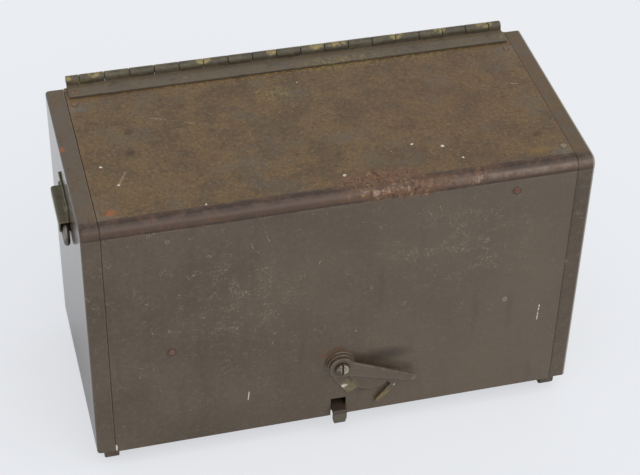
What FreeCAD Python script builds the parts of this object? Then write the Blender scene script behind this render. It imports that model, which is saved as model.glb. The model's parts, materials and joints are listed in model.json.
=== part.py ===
import FreeCAD, Part
import math
import operator
import os

import Sketcher
from FreeCAD import Placement, Rotation, Vector

# Field telephone in a sheet steel case, millimetres.
# +X is to the right seen from the latch side, +Y goes to the hinge side, +Z is up.
# The origin lies on the table plane, below the middle of the case.

SIZES = {
    # case
    "case_length": 254.0,
    "case_depth": 115.0,
    "case_height": 148.5,
    "case_sheet": 1.2,
    "base_bend": 3.0,
    "sill_height": 4.2,
    "sill_setback": 2.0,
    "back_drop": 1.5,
    "corner_gap": 0.3,
    "tab_width": 8.0,
    "tab_inset": 8.0,
    # rim of the end panels, which frames the lid
    "rim_width": 9.3,
    "ledge_width": 7.0,
    "ledge_depth": 2.4,
    # runners
    "runner_height": 11.0,
    "runner_width": 7.6,
    "runner_inset": 4.1,
    "runner_setback": 8.8,
    "runner_nose": 4.0,
    "runner_sheet": 1.4,
    # lid
    "lid_sheet": 1.2,
    "lid_bend": 5.5,
    "lid_side_gap": 0.5,
    "lid_proud": 0.6,
    "lid_back_gap": 0.3,
    "strip_thickness": 1.5,
    "strip_width": 5.6,
    "notch_width": 7.9,
    "notch_height": 11.9,
    # hinge
    "barrel_radius": 2.5,
    "pin_radius": 1.2,
    "hinge_pin_gap": 0.05,
    "end_knuckle": 6.9,
    "hinge_end_gap": 1.16,
    "knuckle_gap": 0.15,
    "leaf_width": 12.7,
    "leaf_sheet": 1.2,
    "leaf_clearance": 0.35,
    # rivets
    "rivet_head_radius": 1.6,
    "rivet_head_height": 0.8,
    "rivet_head_bevel": 0.5,
    "card_rivet_side": 30.6,
    "card_rivet_low": 64.0,
    "card_rivet_drop": 13.0,
    "strip_rivet_back_gap": 5.3,
    "strip_rivet_front_gap": 13.0,
    "leaf_rivet_reach": 9.0,
    "leaf_rivet_inset": 3.04,
    # card inside the lid
    "card_frame_margin": 4.0,
    "card_frame_rail": 9.0,
    "card_frame_sheet": 1.4,
    "card_thickness": 0.8,
    "card_gap": 0.4,
    # latch
    "latch_height": 38.0,
    "stud_radius": 2.0,
    "stud_fit": 0.05,
    "base_plate_sheet": 1.0,
    "base_plate_radius": 7.8,
    "base_plate_tail": 22.0,
    "base_plate_end": 10.0,
    "base_plate_angle": 67.0,
    "plate_gap": 0.1,
    "hook_sheet": 1.5,
    "hook_hub_radius": 7.0,
    "finger_width": 2.8,
    "finger_root_angle": 35.4,
    "finger_tip_angle": 57.7,
    "finger_flare": 2.2,
    "finger_gap": 0.3,
    "throat_depth": 2.6,
    "crook_width": 4.5,
    "crook_lead": 2.4,
    "mouth_lead": 2.0,
    "shoulder_lead": 6.0,
    "heel_setback": 8.0,
    "heel_angle": 60.4,
    "lever_angle": 21.0,
    "lever_length": 43.2,
    "lever_head_radius": 6.4,
    "lever_root_width": 8.8,
    "lever_shoulder": 5.8,
    "lever_waist_reach": 24.0,
    "lever_waist_width": 6.4,
    "lever_tip_width": 3.8,
    "lever_sheet": 1.6,
    "boss_height": 0.6,
    "boss_radius": 5.2,
    "screw_head_radius": 3.4,
    "screw_head_height": 1.8,
    "screw_head_crown": 1.0,
    "screw_slot_width": 0.9,
    "screw_slot_depth": 0.9,
    "nut_radius": 4.2,
    "nut_height": 2.4,
    # catch
    "catch_width": 6.15,
    "catch_sheet": 1.25,
    "catch_rise": 6.0,
    "catch_gap": 3.0,
    "catch_lip": 8.25,
    "catch_bend": 1.5,
    "catch_foot": 9.0,
    "catch_setback": 7.5,
    # strap brackets and rings
    "saddle_length": 29.5,
    "saddle_top": 121.0,
    "saddle_height": 6.4,
    "saddle_proud": 5.4,
    "saddle_sheet": 1.0,
    "saddle_bend": 1.5,
    "saddle_flange": 8.5,
    "saddle_rivet_span": 20.8,
    "saddle_rivet_rise": 4.0,
    "ring_wire": 3.2,
    "ring_drop": 9.7,
    "ring_end_gap": 0.8,
    "ring_corner": 2.0,
    # compartments
    "partition_offset": 2.0,
    "partition_height": 100.0,
    "partition_end_gap": 1.0,
    "shelf_flange": 11.0,
    "panel_thickness": 4.8,
    "panel_end_gap": 15.8,
    "panel_tray_gap": 7.4,
    "panel_gap": 0.5,
    "panel_screw_inset": 4.5,
    "panel_screw_radius": 2.2,
    "support_leg": 15.0,
    # battery
    "cell_width": 41.0,
    "cell_height": 100.0,
    "cell_corner": 4.0,
    "cell_recess": 2.0,
    "cell_gap": 0.8,
    "tray_sheet": 1.0,
    "tray_height": 62.0,
    "tray_right_gap": 6.0,
    "cell_post_radius": 3.2,
    "cell_post_height": 7.0,
    "cell_link_sheet": 1.0,
    # induction coil
    "coil_radius": 13.0,
    "coil_core_radius": 5.0,
    "cheek_size": 30.0,
    "cheek_thickness": 3.0,
    "coil_end_gap": 24.8,
    "coil_can_gap": 9.0,
    # capacitor
    "can_length": 42.0,
    "can_depth": 22.0,
    "can_height": 50.0,
    "can_corner": 2.5,
    "can_tray_gap": 13.4,
    "lug_radius": 1.5,
    "lug_height": 4.0,
    "lug_span": 20.0,
    # buzzer
    "buzzer_inset": 18.0,
    "buzzer_width": 16.0,
    "yoke_sheet": 2.0,
    "yoke_reach": 16.0,
    "yoke_height": 24.0,
    "spool_radius": 9.0,
    "spool_height": 17.0,
    "spool_cheek": 1.5,
    "pole_radius": 4.0,
    "pole_gap": 1.2,
    "armature_sheet": 1.0,
    "armature_width": 11.0,
    "armature_reach": 12.0,
    "pillar_radius": 3.0,
    "contact_gap": 0.1,
    "contact_radius": 1.2,
    "arm_sheet": 2.5,
    # Morse key
    "key_gap_share": 0.625,
    "key_length": 62.0,
    "key_tail": 26.0,
    "key_width": 9.0,
    "key_bar": 4.0,
    "key_round": 2.7,
    "key_pivot_height": 15.5,
    "key_cheek": 2.0,
    "key_side_gap": 0.4,
    "key_pin_radius": 1.5,
    "key_pin_fit": 0.05,
    "key_bridge_length": 20.0,
    "knob_radius": 11.0,
    "knob_height": 13.0,
    "knob_skirt": 3.0,
    "knob_neck_radius": 5.5,
    "knob_crown_radius": 8.0,
    "knob_crown": 4.6,
    "knob_bevel": 2.0,
    "knob_setback": 4.0,
    "front_contact_reach": 18.0,
    "back_contact_reach": 20.0,
    "contact_post_radius": 3.0,
    "front_contact_gap": 1.1,
    "back_contact_gap": 0.1,
    "spring_sheet": 0.6,
    "spring_reach": 12.0,
    "spring_fall": 3.0,
    "spring_gap": 0.7,
    # line terminals
    "terminal_setback": 17.0,
    "terminal_inset": 8.0,
    "terminal_radius": 2.0,
    "terminal_height": 19.0,
    "collar_radius": 5.0,
    "collar_height": 3.0,
    "wire_gap": 2.5,
    "thumb_radius": 5.2,
    "thumb_height": 7.0,
    "thumb_tooth": 0.5,
    "terminal_fit": 0.08,
    # handset
    "handset_y": 26.0,
    "head_setback": 47.8,
    "head_radius": 22.5,
    "head_base": 104.0,
    "head_top": 137.0,
    "head_bevel": 7.0,
    "head_wall": 2.5,
    "head_depth": 24.0,
    "grip_width": 19.0,
    "grip_top": 150.0,
    "grip_bottom": 131.0,
    "grip_fall": 6.0,
    "grip_bevel": 3.5,
    "capsule_gap": 0.3,
    "capsule_height": 18.0,
    "cap_wall": 2.0,
    "cap_floor": 3.0,
    "cap_overlap": 6.0,
    "cap_fit": 0.1,
    "sound_hole_radius": 1.8,
    "sound_hole_ring": 7.0,
    "horn_length": 15.0,
    "horn_mouth": 19.0,
    "horn_root": 12.0,
    "horn_wall": 2.0,
    "horn_lip": 2.0,
    "horn_flare": 6.0,
    "gland_radius": 5.0,
    "gland_length": 12.0,
    "gland_bore": 3.0,
    # pressel bar
    "pressel_inset": 49.0,
    "pressel_width": 10.0,
    "pressel_height": 9.0,
    "pressel_gap": 0.6,
    "pressel_depth": 10.0,
    "pressel_proud": 4.0,
    "pressel_pin_radius": 1.0,
    "pressel_pin_fit": 0.05,
    "pressel_pin_inset": 3.0,
    "pressel_pin_rise": 2.0,
    "pressel_pin_length": 17.6,
    # cradles
    "cradle_inset": 34.0,
    "cradle_width": 10.0,
    "cradle_sheet": 1.2,
    "cradle_gap": 0.3,
    "cradle_arm": 14.0,
    "cradle_leg": 36.0,
}

OPERATIONS = {"+": operator.add, "-": operator.sub, "*": operator.mul, "/": operator.truediv}


class Size:
    """A number together with the spreadsheet expression that gives it."""

    def __init__(self, value, text):
        self.value = float(value)
        self.text = text

    def __add__(self, other):
        return combine(self, "+", other)

    def __radd__(self, other):
        return combine(other, "+", self)

    def __sub__(self, other):
        return combine(self, "-", other)

    def __rsub__(self, other):
        return combine(other, "-", self)

    def __mul__(self, other):
        return combine(self, "*", other)

    def __rmul__(self, other):
        return combine(other, "*", self)

    def __truediv__(self, other):
        return combine(self, "/", other)

    def __neg__(self):
        return combine(0, "-", self)


def as_size(number):
    return number if isinstance(number, Size) else Size(number, "(%r)" % float(number))


def combine(left, sign, right):
    left = as_size(left)
    right = as_size(right)
    value = OPERATIONS[sign](left.value, right.value)
    return Size(value, "(%s %s %s)" % (left.text, sign, right.text))


def sine(angle):
    angle = as_size(angle)
    return Size(math.sin(math.radians(angle.value)), "sin(%s)" % angle.text)


def cosine(angle):
    angle = as_size(angle)
    return Size(math.cos(math.radians(angle.value)), "cos(%s)" % angle.text)


def polar(reach, angle):
    return reach * cosine(angle), reach * sine(angle)


doc = FreeCAD.newDocument("FieldTelephone")
sheet = doc.addObject("Spreadsheet::Sheet", "Sizes")
for row, (alias, number) in enumerate(SIZES.items(), start=1):
    sheet.set("A%d" % row, alias)
    sheet.set("B%d" % row, str(number))
    sheet.setAlias("B%d" % row, alias)
doc.recompute()


class Sheet:
    """Gives each driving dimension by its alias, such as S.case_length."""

    def __getattr__(self, alias):
        return Size(SIZES[alias], "Sizes." + alias)


S = Sheet()
NODES = []


# ---------------------------------------------------------------- building blocks

def bind(thing, name, size):
    size = as_size(size)
    if "Sizes." in size.text:
        thing.setExpression(name, size.text)
        return
    owner = thing
    *path, last = name.split(".")
    if not path:
        setattr(owner, last, size.value)
        return
    placement = getattr(thing, path[0])
    setattr(getattr(placement, path[1]), last, size.value)
    setattr(thing, path[0], placement)


def put(thing, x=0, y=0, z=0):
    for letter, size in zip("xyz", (x, y, z)):
        bind(thing, "Placement.Base." + letter, size)
    return thing


def node(thing, label):
    thing.Label = label
    NODES.append(thing)
    return thing


def body(name):
    return doc.addObject("PartDesign::Body", name)


def ordered(first, second):
    first = as_size(first)
    second = as_size(second)
    return (first, second) if first.value <= second.value else (second, first)


def origin_feature(owner, role):
    return next(item for item in owner.Origin.OriginFeatures if item.Role == role)


PLANES = {"XY": ("XY_Plane", 1), "XZ": ("XZ_Plane", -1), "YZ": ("YZ_Plane", 1)}


def sketch_on(owner, plane, level=0):
    """A sketch on an origin plane, shifted to the given world level along its axis."""
    role, direction = PLANES[plane]
    made = owner.newObject("Sketcher::SketchObject", owner.Name + "_sketch")
    made.AttachmentSupport = (origin_feature(owner, role), [""])
    made.MapMode = "FlatFace"
    bind(made, "AttachmentOffset.Base.z", as_size(level) * direction)
    return made


def pin_point(edge, end, point):
    """Two constraints that fix a point at its distances from the sketch origin."""
    rules = []
    for kind, size in zip(("DistanceX", "DistanceY"), point):
        size = as_size(size)
        if size.value >= 0:
            rules.append((Sketcher.Constraint(kind, -1, 1, edge, end, size.value), size))
        else:
            rules.append((Sketcher.Constraint(kind, edge, end, -1, 1, -size.value), -size))
    return rules


def short_arc(start, end, radius):
    """The arc under half a turn between two points; a positive radius turns left."""
    chord = end.sub(start)
    middle = start.add(chord.multiply(0.5))
    half = end.sub(start).Length / 2
    left = Vector(start.y - end.y, end.x - start.x, 0).normalize()
    rise = math.sqrt(max(radius * radius - half * half, 0.0))
    centre = middle.add(left.multiply(math.copysign(rise, radius)))
    first, last = (start, end) if radius > 0 else (end, start)
    angles = [math.atan2(point.y - centre.y, point.x - centre.x) for point in (first, last)]
    circle = Part.Circle(centre, Vector(0, 0, 1), abs(radius))
    return Part.ArcOfCircle(circle, angles[0], angles[1])


def draw_outline(made, points):
    """A closed outline. A point is (x, y), or (x, y, radius) for an arc that leads to it."""
    places = [Vector(as_size(point[0]).value, as_size(point[1]).value, 0) for point in points]
    first = made.GeometryCount
    geometry = []
    rules = []
    starts = []
    count = len(points)
    for index in range(count):
        following = points[(index + 1) % count]
        start = places[index]
        end = places[(index + 1) % count]
        if len(following) == 2:
            geometry.append(Part.LineSegment(start, end))
            starts.append(1)
            continue
        radius = as_size(following[2])
        geometry.append(short_arc(start, end, radius.value))
        starts.append(1 if radius.value > 0 else 2)
        size = radius if radius.value > 0 else -radius
        rules.append((Sketcher.Constraint("Radius", first + index, size.value), size))
    made.addGeometry(geometry, False)
    joints = []
    for index in range(count):
        following = (index + 1) % count
        joints.append(Sketcher.Constraint(
            "Coincident", first + index, 3 - starts[index], first + following, starts[following]))
        rules += pin_point(first + index, starts[index], points[index][:2])
    made.addConstraint(joints)
    add_rules(made, rules)


def draw_circle(made, x, y, radius):
    index = made.GeometryCount
    centre = Vector(as_size(x).value, as_size(y).value, 0)
    radius = as_size(radius)
    made.addGeometry(Part.Circle(centre, Vector(0, 0, 1), radius.value), False)
    rules = pin_point(index, 3, (x, y))
    rules.append((Sketcher.Constraint("Radius", index, radius.value), radius))
    add_rules(made, rules)


def add_rules(made, rules):
    start = made.ConstraintCount
    made.addConstraint([rule for rule, size in rules])
    for offset, (rule, size) in enumerate(rules):
        if "Sizes." in size.text:
            made.setExpression("Constraints[%d]" % (start + offset), size.text)


def prism(owner, plane, low, high, outlines=(), circles=(), cut=False):
    """Outlines and circles on a plane, padded or cut between two world levels."""
    low, high = ordered(low, high)
    made = sketch_on(owner, plane, (low + high) / 2)
    for points in outlines:
        draw_outline(made, points)
    for circle in circles:
        draw_circle(made, *circle)
    kind = "PartDesign::Pocket" if cut else "PartDesign::Pad"
    feature = owner.newObject(kind, owner.Name + ("_cut" if cut else "_pad"))
    feature.Profile = made
    feature.SideType = "Symmetric"
    bind(feature, "Length", high - low)
    made.Visibility = False
    return feature


def turned(owner, outline, cut=False):
    """An outline in the XZ plane, turned a full circle about the body's own Z axis."""
    made = sketch_on(owner, "XZ")
    draw_outline(made, outline)
    kind = "PartDesign::Groove" if cut else "PartDesign::Revolution"
    feature = owner.newObject(kind, owner.Name + "_turned")
    feature.Profile = made
    feature.ReferenceAxis = (made, ["V_Axis"])
    feature.Angle = 360.0
    return feature


def dress_edges(owner, kind, measure, size, wanted):
    """A fillet or chamfer on the edges of a body's last feature that the test accepts."""
    doc.recompute()
    last = owner.Tip
    edges = enumerate(last.Shape.Edges, start=1)
    names = ["Edge%d" % number for number, edge in edges if wanted(edge)]
    feature = owner.newObject("PartDesign::" + kind, owner.Name + "_" + kind.lower())
    feature.Base = (last, names)
    bind(feature, measure, size)
    return feature


def round_edges(owner, radius, wanted):
    return dress_edges(owner, "Fillet", "Radius", radius, wanted)


def bevel_edges(owner, size, wanted):
    return dress_edges(owner, "Chamfer", "Size", size, wanted)


def runs_along(edge, axis):
    if edge.Curve.TypeId != "Part::GeomLine":
        return False
    direction = edge.Curve.Direction
    return abs(abs(direction.dot(axis)) - 1) < 1e-6


def repeat_along_x(owner, feature, count, step):
    pattern = owner.newObject("PartDesign::LinearPattern", owner.Name + "_pattern")
    pattern.Originals = [feature]
    pattern.Direction = (origin_feature(owner, "X_Axis"), [""])
    pattern.Occurrences = count
    bind(pattern, "Length", as_size(step) * (count - 1))
    owner.Tip = pattern
    return pattern


def repeat_round_z(owner, feature, count):
    pattern = owner.newObject("PartDesign::PolarPattern", owner.Name + "_pattern")
    pattern.Originals = [feature]
    pattern.Axis = (origin_feature(owner, "Z_Axis"), [""])
    pattern.Angle = 360.0
    pattern.Occurrences = count
    owner.Tip = pattern
    return pattern


def rectangle(left, right, low, high):
    return [(left, low), (right, low), (right, high), (left, high)]


TURNS = {
    "+X": Rotation(Vector(0, 1, 0), 90),
    "-X": Rotation(Vector(0, 1, 0), -90),
    "+Y": Rotation(Vector(1, 0, 0), -90),
    "-Y": Rotation(Vector(1, 0, 0), 90),
    "+Z": Rotation(),
    "-Z": Rotation(Vector(1, 0, 0), 180),
}


def rod(name, towards, radius, length, x, y, z):
    made = doc.addObject("Part::Cylinder", name)
    made.Placement = Placement(Vector(), TURNS[towards])
    bind(made, "Radius", radius)
    bind(made, "Height", length)
    return put(made, x, y, z)


def post(name, radius, length, x, y, z):
    """Upright twelve-sided post."""
    made = doc.addObject("Part::Prism", name)
    made.Polygon = SMALL_ROUND_SIDES
    bind(made, "Circumradius", radius)
    bind(made, "Height", length)
    return put(made, x, y, z)


def block(name, xs, ys, zs):
    made = doc.addObject("Part::Box", name)
    lows = []
    for prop, pair in zip(("Length", "Width", "Height"), (xs, ys, zs)):
        low, high = ordered(*pair)
        bind(made, prop, high - low)
        lows.append(low)
    return put(made, *lows)


def union(name, parts):
    made = doc.addObject("Part::MultiFuse", name)
    made.Shapes = parts
    made.Refine = True
    return made


def together(name, parts):
    made = doc.addObject("Part::Compound", name)
    made.Links = parts
    return made


def facets(x, y, radius, count):
    """A regular outline round a point, for small round things that repeat."""
    corners = []
    for step in range(count):
        reach_x, reach_y = polar(radius, 360 * (step + 0.5) / count)
        corners.append((x + reach_x, y + reach_y))
    return corners


ROUND_SIDES = 24
SMALL_ROUND_SIDES = 12
WIRE_SIDES = 8
SOUND_HOLE_COUNT = 6
HAIR = 1e-3


def disc(owner, low, high, radius, sides, cut=False):
    """A many-sided round slice between two levels of the body's Z axis."""
    return prism(owner, "XY", low, high, [facets(0, 0, radius, sides)], cut=cut)


def flat_rim(level, radius):
    """A test for the straight edges of a many-sided disc at a level, near a radius."""
    def wanted(edge):
        box = edge.BoundBox
        middle = edge.CenterOfMass
        reach = math.hypot(middle.x, middle.y)
        return abs(box.ZMin - level) < HAIR and abs(box.ZMax - level) < HAIR and abs(reach - radius) < HAIR
    return wanted


def bevel_rim(owner, level, radius, sides, size):
    """Bevels the rim of a many-sided disc all round."""
    flat = as_size(radius).value * math.cos(math.pi / sides)
    return bevel_edges(owner, size, flat_rim(as_size(level).value, flat))


def rivet(name, towards, x, y, z):
    """A closed rivet head on a face, sloping in all round towards its flat crown."""
    made = body(name)
    prism(made, "XY", 0, S.rivet_head_height, [facets(0, 0, S.rivet_head_radius, SMALL_ROUND_SIDES)])
    above = SIZES["rivet_head_height"] / 2
    bevel_edges(made, S.rivet_head_bevel, lambda edge: edge.BoundBox.ZMin > above)
    made.Placement = Placement(Vector(), TURNS[towards])
    return put(made, x, y, z)


# ---------------------------------------------------------------- shared places

half_length = S.case_length / 2
front = -(S.case_depth / 2)
back = S.case_depth / 2
base = S.runner_height
top = base + S.case_height
floor = base + S.case_sheet
inner_end = half_length - S.case_sheet
rim_front = front + S.lid_proud
rim_top = top - S.lid_proud
rim_bend = S.lid_bend - S.lid_proud
rim_edge = half_length - S.rim_width
lid_edge = rim_edge - S.lid_side_gap
lid_inner_front = front + S.lid_sheet
lid_rear = back - S.lid_back_gap
barrel_y = back + S.barrel_radius
barrel_z = top + S.barrel_radius
strip_outer = lid_edge - S.lid_side_gap
strip_middle = strip_outer - S.strip_width / 2
latch_z = base + S.latch_height
strap_top = base + S.catch_rise
strap_under = strap_top - S.catch_sheet


def wrap(face, crown, bend, outer, inner, bottom, rear):
    """Side view of a sheet bent over the front top edge, between two insets from its face."""
    bend_y = face + bend
    bend_z = crown - bend
    return [
        (face + outer, bottom),
        (face + inner, bottom),
        (face + inner, bend_z),
        (bend_y, crown - inner, inner - bend),
        (rear, crown - inner),
        (rear, crown - outer),
        (bend_y, crown - outer),
        (face + outer, bend_z, bend - outer),
    ]


# ---------------------------------------------------------------- case

def make_case_shell():
    """Base and back in one bent sheet, with a low sill behind the lid's bottom edge."""
    made = body("case_shell_body")
    sheet_metal = S.case_sheet
    sill = front + S.sill_setback
    outer = S.base_bend
    inner = outer - sheet_metal
    wall_top = rim_top - S.back_drop
    outline = [
        (sill, base + S.sill_height),
        (sill, base + outer),
        (sill + outer, base, outer),
        (back - outer, base),
        (back, base + outer, outer),
        (back, wall_top),
        (back - sheet_metal, wall_top),
        (back - sheet_metal, base + outer),
        (back - outer, floor, -inner),
        (sill + outer, floor),
        (sill + sheet_metal, base + outer, -inner),
        (sill + sheet_metal, base + S.sill_height),
    ]
    prism(made, "YZ", -inner_end, inner_end, [outline])
    corner_in = rim_edge - S.ledge_width - S.corner_gap
    corner_rear = rim_front + S.ledge_depth + sheet_metal + S.corner_gap
    for side in (-1, 1):
        near, far = ordered(side * corner_in, side * half_length)
        corner = rectangle(near, far, front - sheet_metal, corner_rear)
        prism(made, "XY", base - sheet_metal, base + S.sill_height * 2, [corner], cut=True)
    node(made, "case_shell")


def make_end_panel(side, label):
    """End sheet with its rim bent over the front and top, stepped in to a ledge for the lid."""
    made = body(label + "_body")
    sheet_metal = S.case_sheet
    ledge_in = S.ledge_depth + sheet_metal
    bend_y = rim_front + rim_bend
    bend_z = rim_top - rim_bend
    silhouette = [
        (rim_front, base),
        (back, base),
        (back, rim_top),
        (bend_y, rim_top),
        (rim_front, bend_z, rim_bend),
    ]
    prism(made, "YZ", side * inner_end, side * half_length, [silhouette])
    rear = back - sheet_metal
    step = rim_edge + sheet_metal
    layers = [
        (rim_edge, half_length, 0, sheet_metal, back),
        (rim_edge, step, 0, ledge_in, rear),
        (rim_edge - S.ledge_width, step, S.ledge_depth, ledge_in, rear),
    ]
    for near, far, outer, inner, end in layers:
        outline = wrap(rim_front, rim_top, rim_bend, as_size(outer), inner, base, end)
        prism(made, "YZ", side * near, side * far, [outline])
    tab_in = inner_end - S.tab_width
    clear = S.tab_inset
    low_tab = rectangle(front + clear, back - clear, floor, floor + sheet_metal)
    rear_tab = rectangle(back - sheet_metal * 2, back - sheet_metal, floor + clear, rim_top - clear)
    prism(made, "YZ", side * tab_in, side * inner_end, [low_tab, rear_tab])
    node(made, label)


def make_runner(side, label):
    """Pressed channel from front to back under the base, open towards it."""
    made = body(label + "_body")
    outer = half_length - S.runner_inset
    inner = outer - S.runner_width
    reach = back - S.runner_setback
    nose = S.runner_nose
    wall = S.runner_sheet
    outline = [
        (-reach, nose),
        (-reach + nose, 0, nose),
        (reach - nose, 0),
        (reach, nose, nose),
        (reach, base),
        (-reach, base),
    ]
    prism(made, "YZ", side * inner, side * outer, [outline])
    hollow = [
        (wall - reach, nose),
        (nose - reach, wall, nose - wall),
        (reach - nose, wall),
        (reach - wall, nose, nose - wall),
        (reach - wall, base + wall),
        (wall - reach, base + wall),
    ]
    prism(made, "YZ", side * (inner + wall), side * (outer - wall), [hollow], cut=True)
    node(made, label)


def make_catch():
    """Folded strap from the case floor, out over the sill and down in front of the lid."""
    made = body("lid_catch_body")
    thick = S.catch_sheet
    riser = front + S.catch_setback
    lip_in = front - S.catch_gap
    lip_out = lip_in - thick
    bend = S.catch_bend
    outline = [
        (riser + S.catch_foot, floor),
        (riser - thick, floor),
        (riser - thick, strap_under),
        (lip_in, strap_under),
        (lip_in, strap_top - S.catch_lip),
        (lip_out, strap_top - S.catch_lip),
        (lip_out, strap_top - bend),
        (lip_out + bend, strap_top, -bend),
        (riser, strap_top),
        (riser, floor + thick),
        (riser + S.catch_foot, floor + thick),
    ]
    prism(made, "YZ", -(S.catch_width / 2), S.catch_width / 2, [outline])
    node(made, "lid_catch")


# ---------------------------------------------------------------- strap brackets and rings

saddle_z = base + S.saddle_top
ring_x = half_length + (S.saddle_proud - S.saddle_sheet) / 2
ring_z = saddle_z - S.saddle_height / 2


def make_strap_bracket(side, label):
    """Strip folded out from the end face into a saddle that holds the ring."""
    made = body(label + "_body")
    thick = S.saddle_sheet
    bend = S.saddle_bend
    face = half_length
    proud = half_length + S.saddle_proud
    low = saddle_z - S.saddle_height
    crown = saddle_z + S.saddle_flange
    turn = side * bend
    outline = [
        (side * face, crown),
        (side * (face + thick), crown),
        (side * (face + thick), saddle_z),
        (side * (proud - bend), saddle_z),
        (side * proud, saddle_z - bend, -turn),
        (side * proud, low + bend),
        (side * (proud - bend), low, -turn),
        (side * face, low),
        (side * face, low + thick),
        (side * (proud - thick), low + thick),
        (side * (proud - thick), saddle_z - thick),
        (side * face, saddle_z - thick),
    ]
    half = S.saddle_length / 2
    prism(made, "XZ", -half, half, [outline])
    node(made, label)


def make_bracket_rivets():
    rivets = []
    for side, towards in ((-1, "-X"), (1, "+X")):
        for along in (-1, 1):
            rivets.append(rivet(
                "bracket_rivet", towards, side * (half_length + S.saddle_sheet),
                along * S.saddle_rivet_span / 2, saddle_z + S.saddle_rivet_rise))
    node(together("bracket_rivet_set", rivets), "strap_bracket_rivets")


def make_ring(side, label):
    """Wire loop with bevelled corners, its top bar lying in the saddle."""
    made = body(label + "_body")
    radius = S.ring_wire / 2
    half = S.saddle_length / 2 + S.ring_end_gap + radius
    drop = S.ring_drop
    corner = S.ring_corner
    path = sketch_on(made, "YZ")
    draw_outline(path, [
        (corner - half, 0),
        (half - corner, 0),
        (half, -corner),
        (half, corner - drop),
        (half - corner, -drop),
        (corner - half, -drop),
        (-half, corner - drop),
        (-half, -corner),
    ])
    wire = sketch_on(made, "XZ")
    draw_outline(wire, facets(0, 0, radius, WIRE_SIDES))
    loop = made.newObject("PartDesign::AdditivePipe", label + "_pipe")
    loop.Profile = wire
    loop.Spine = (path, [])
    loop.Transition = "Right corner"
    put(made, side * ring_x, 0, ring_z)
    node(made, label)


# ---------------------------------------------------------------- hinge

LID_KNUCKLE_COUNT = 9
CASE_KNUCKLE_COUNT = LID_KNUCKLE_COUNT - 1
LEAF_RIVET_SHARES = (-1, -0.5, 0, 0.5, 1)
BARREL_SIDES = 16

hinge_half = lid_edge - S.hinge_end_gap
knuckle_pitch = (hinge_half - S.end_knuckle) * 2 / (LID_KNUCKLE_COUNT + CASE_KNUCKLE_COUNT)


def leaf_rivet_places():
    return [(hinge_half - S.leaf_rivet_inset) * share for share in LEAF_RIVET_SHARES]


def knuckle_room():
    """Square round the barrel that one leaf leaves free for the other's knuckles."""
    room = S.barrel_radius + S.leaf_clearance
    return rectangle(barrel_y - room, barrel_y + room, barrel_z - room, barrel_z + room)


def hinge_leaf(name, plate, gaps, first_gap):
    """Leaf plate with a full barrel, then the other leaf's knuckles are cut out of the barrel."""
    made = body(name)
    prism(made, "YZ", -hinge_half, hinge_half, [plate])
    barrel = facets(barrel_y, barrel_z, S.barrel_radius, BARREL_SIDES)
    prism(made, "YZ", -hinge_half, hinge_half, [barrel])
    bore = [(barrel_y, barrel_z, S.pin_radius + S.hinge_pin_gap)]
    prism(made, "YZ", -hinge_half, hinge_half, circles=bore, cut=True)
    half_gap = knuckle_pitch / 2 + S.knuckle_gap
    slot = prism(made, "YZ", first_gap - half_gap, first_gap + half_gap, [knuckle_room()], cut=True)
    repeat_along_x(made, slot, gaps, knuckle_pitch * 2)
    return made


def make_hinge():
    sheet_metal = S.leaf_sheet
    reach = barrel_y - S.leaf_width
    lid_plate = rectangle(reach, barrel_y, top, top + sheet_metal)
    first = -(knuckle_pitch * (CASE_KNUCKLE_COUNT - 1))
    lid_leaf = hinge_leaf("hinge_lid_leaf_body", lid_plate, CASE_KNUCKLE_COUNT, first)
    knuckle_end = hinge_half - S.end_knuckle - S.knuckle_gap
    for side in (-1, 1):
        prism(lid_leaf, "YZ", side * knuckle_end, side * (hinge_half + sheet_metal),
              [knuckle_room()], cut=True)
    node(lid_leaf, "hinge_lid_leaf")

    case_plate = rectangle(back, back + sheet_metal, barrel_z - S.leaf_width, barrel_z)
    first = -(knuckle_pitch * (LID_KNUCKLE_COUNT - 1))
    case_leaf = hinge_leaf("hinge_case_leaf_body", case_plate, LID_KNUCKLE_COUNT, first)
    node(case_leaf, "hinge_case_leaf")

    pin = rod("hinge_pin_rod", "+X", S.pin_radius, hinge_half * 2, -hinge_half, barrel_y, barrel_z)
    node(pin, "hinge_pin")

    rivet_y = back + S.leaf_sheet
    rivet_z = barrel_z - S.leaf_rivet_reach
    rivets = [rivet("case_leaf_rivet", "+Y", x, rivet_y, rivet_z) for x in leaf_rivet_places()]
    node(together("hinge_case_rivet_set", rivets), "hinge_case_rivets")


# ---------------------------------------------------------------- lid

card_half = lid_edge - S.card_rivet_side
card_low = base + S.card_rivet_low
card_high = top - S.card_rivet_drop
card_rivets = [(side * card_half, level) for side in (-1, 1) for level in (card_low, card_high)]
strip_rivets = [
    (side * strip_middle, y)
    for side in (-1, 1)
    for y in (barrel_y - S.leaf_width - S.strip_rivet_back_gap, front + S.strip_rivet_front_gap)
]


def make_lid_panel():
    """One sheet bent over the front top edge, notched at the bottom for the catch."""
    made = body("lid_panel_body")
    outline = wrap(front, top, S.lid_bend, as_size(0), S.lid_sheet, base, lid_rear)
    prism(made, "YZ", -lid_edge, lid_edge, [outline])
    half = S.notch_width / 2
    notch = rectangle(-half, half, base - S.lid_sheet, base + S.notch_height)
    deep = front - S.lid_sheet
    near = front + S.lid_sheet * 2
    prism(made, "XZ", deep, near, [notch], cut=True)
    stud = [(0, latch_z, S.stud_radius + S.stud_fit)]
    prism(made, "XZ", deep, near, circles=stud, cut=True)
    node(made, "lid_panel")


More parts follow.
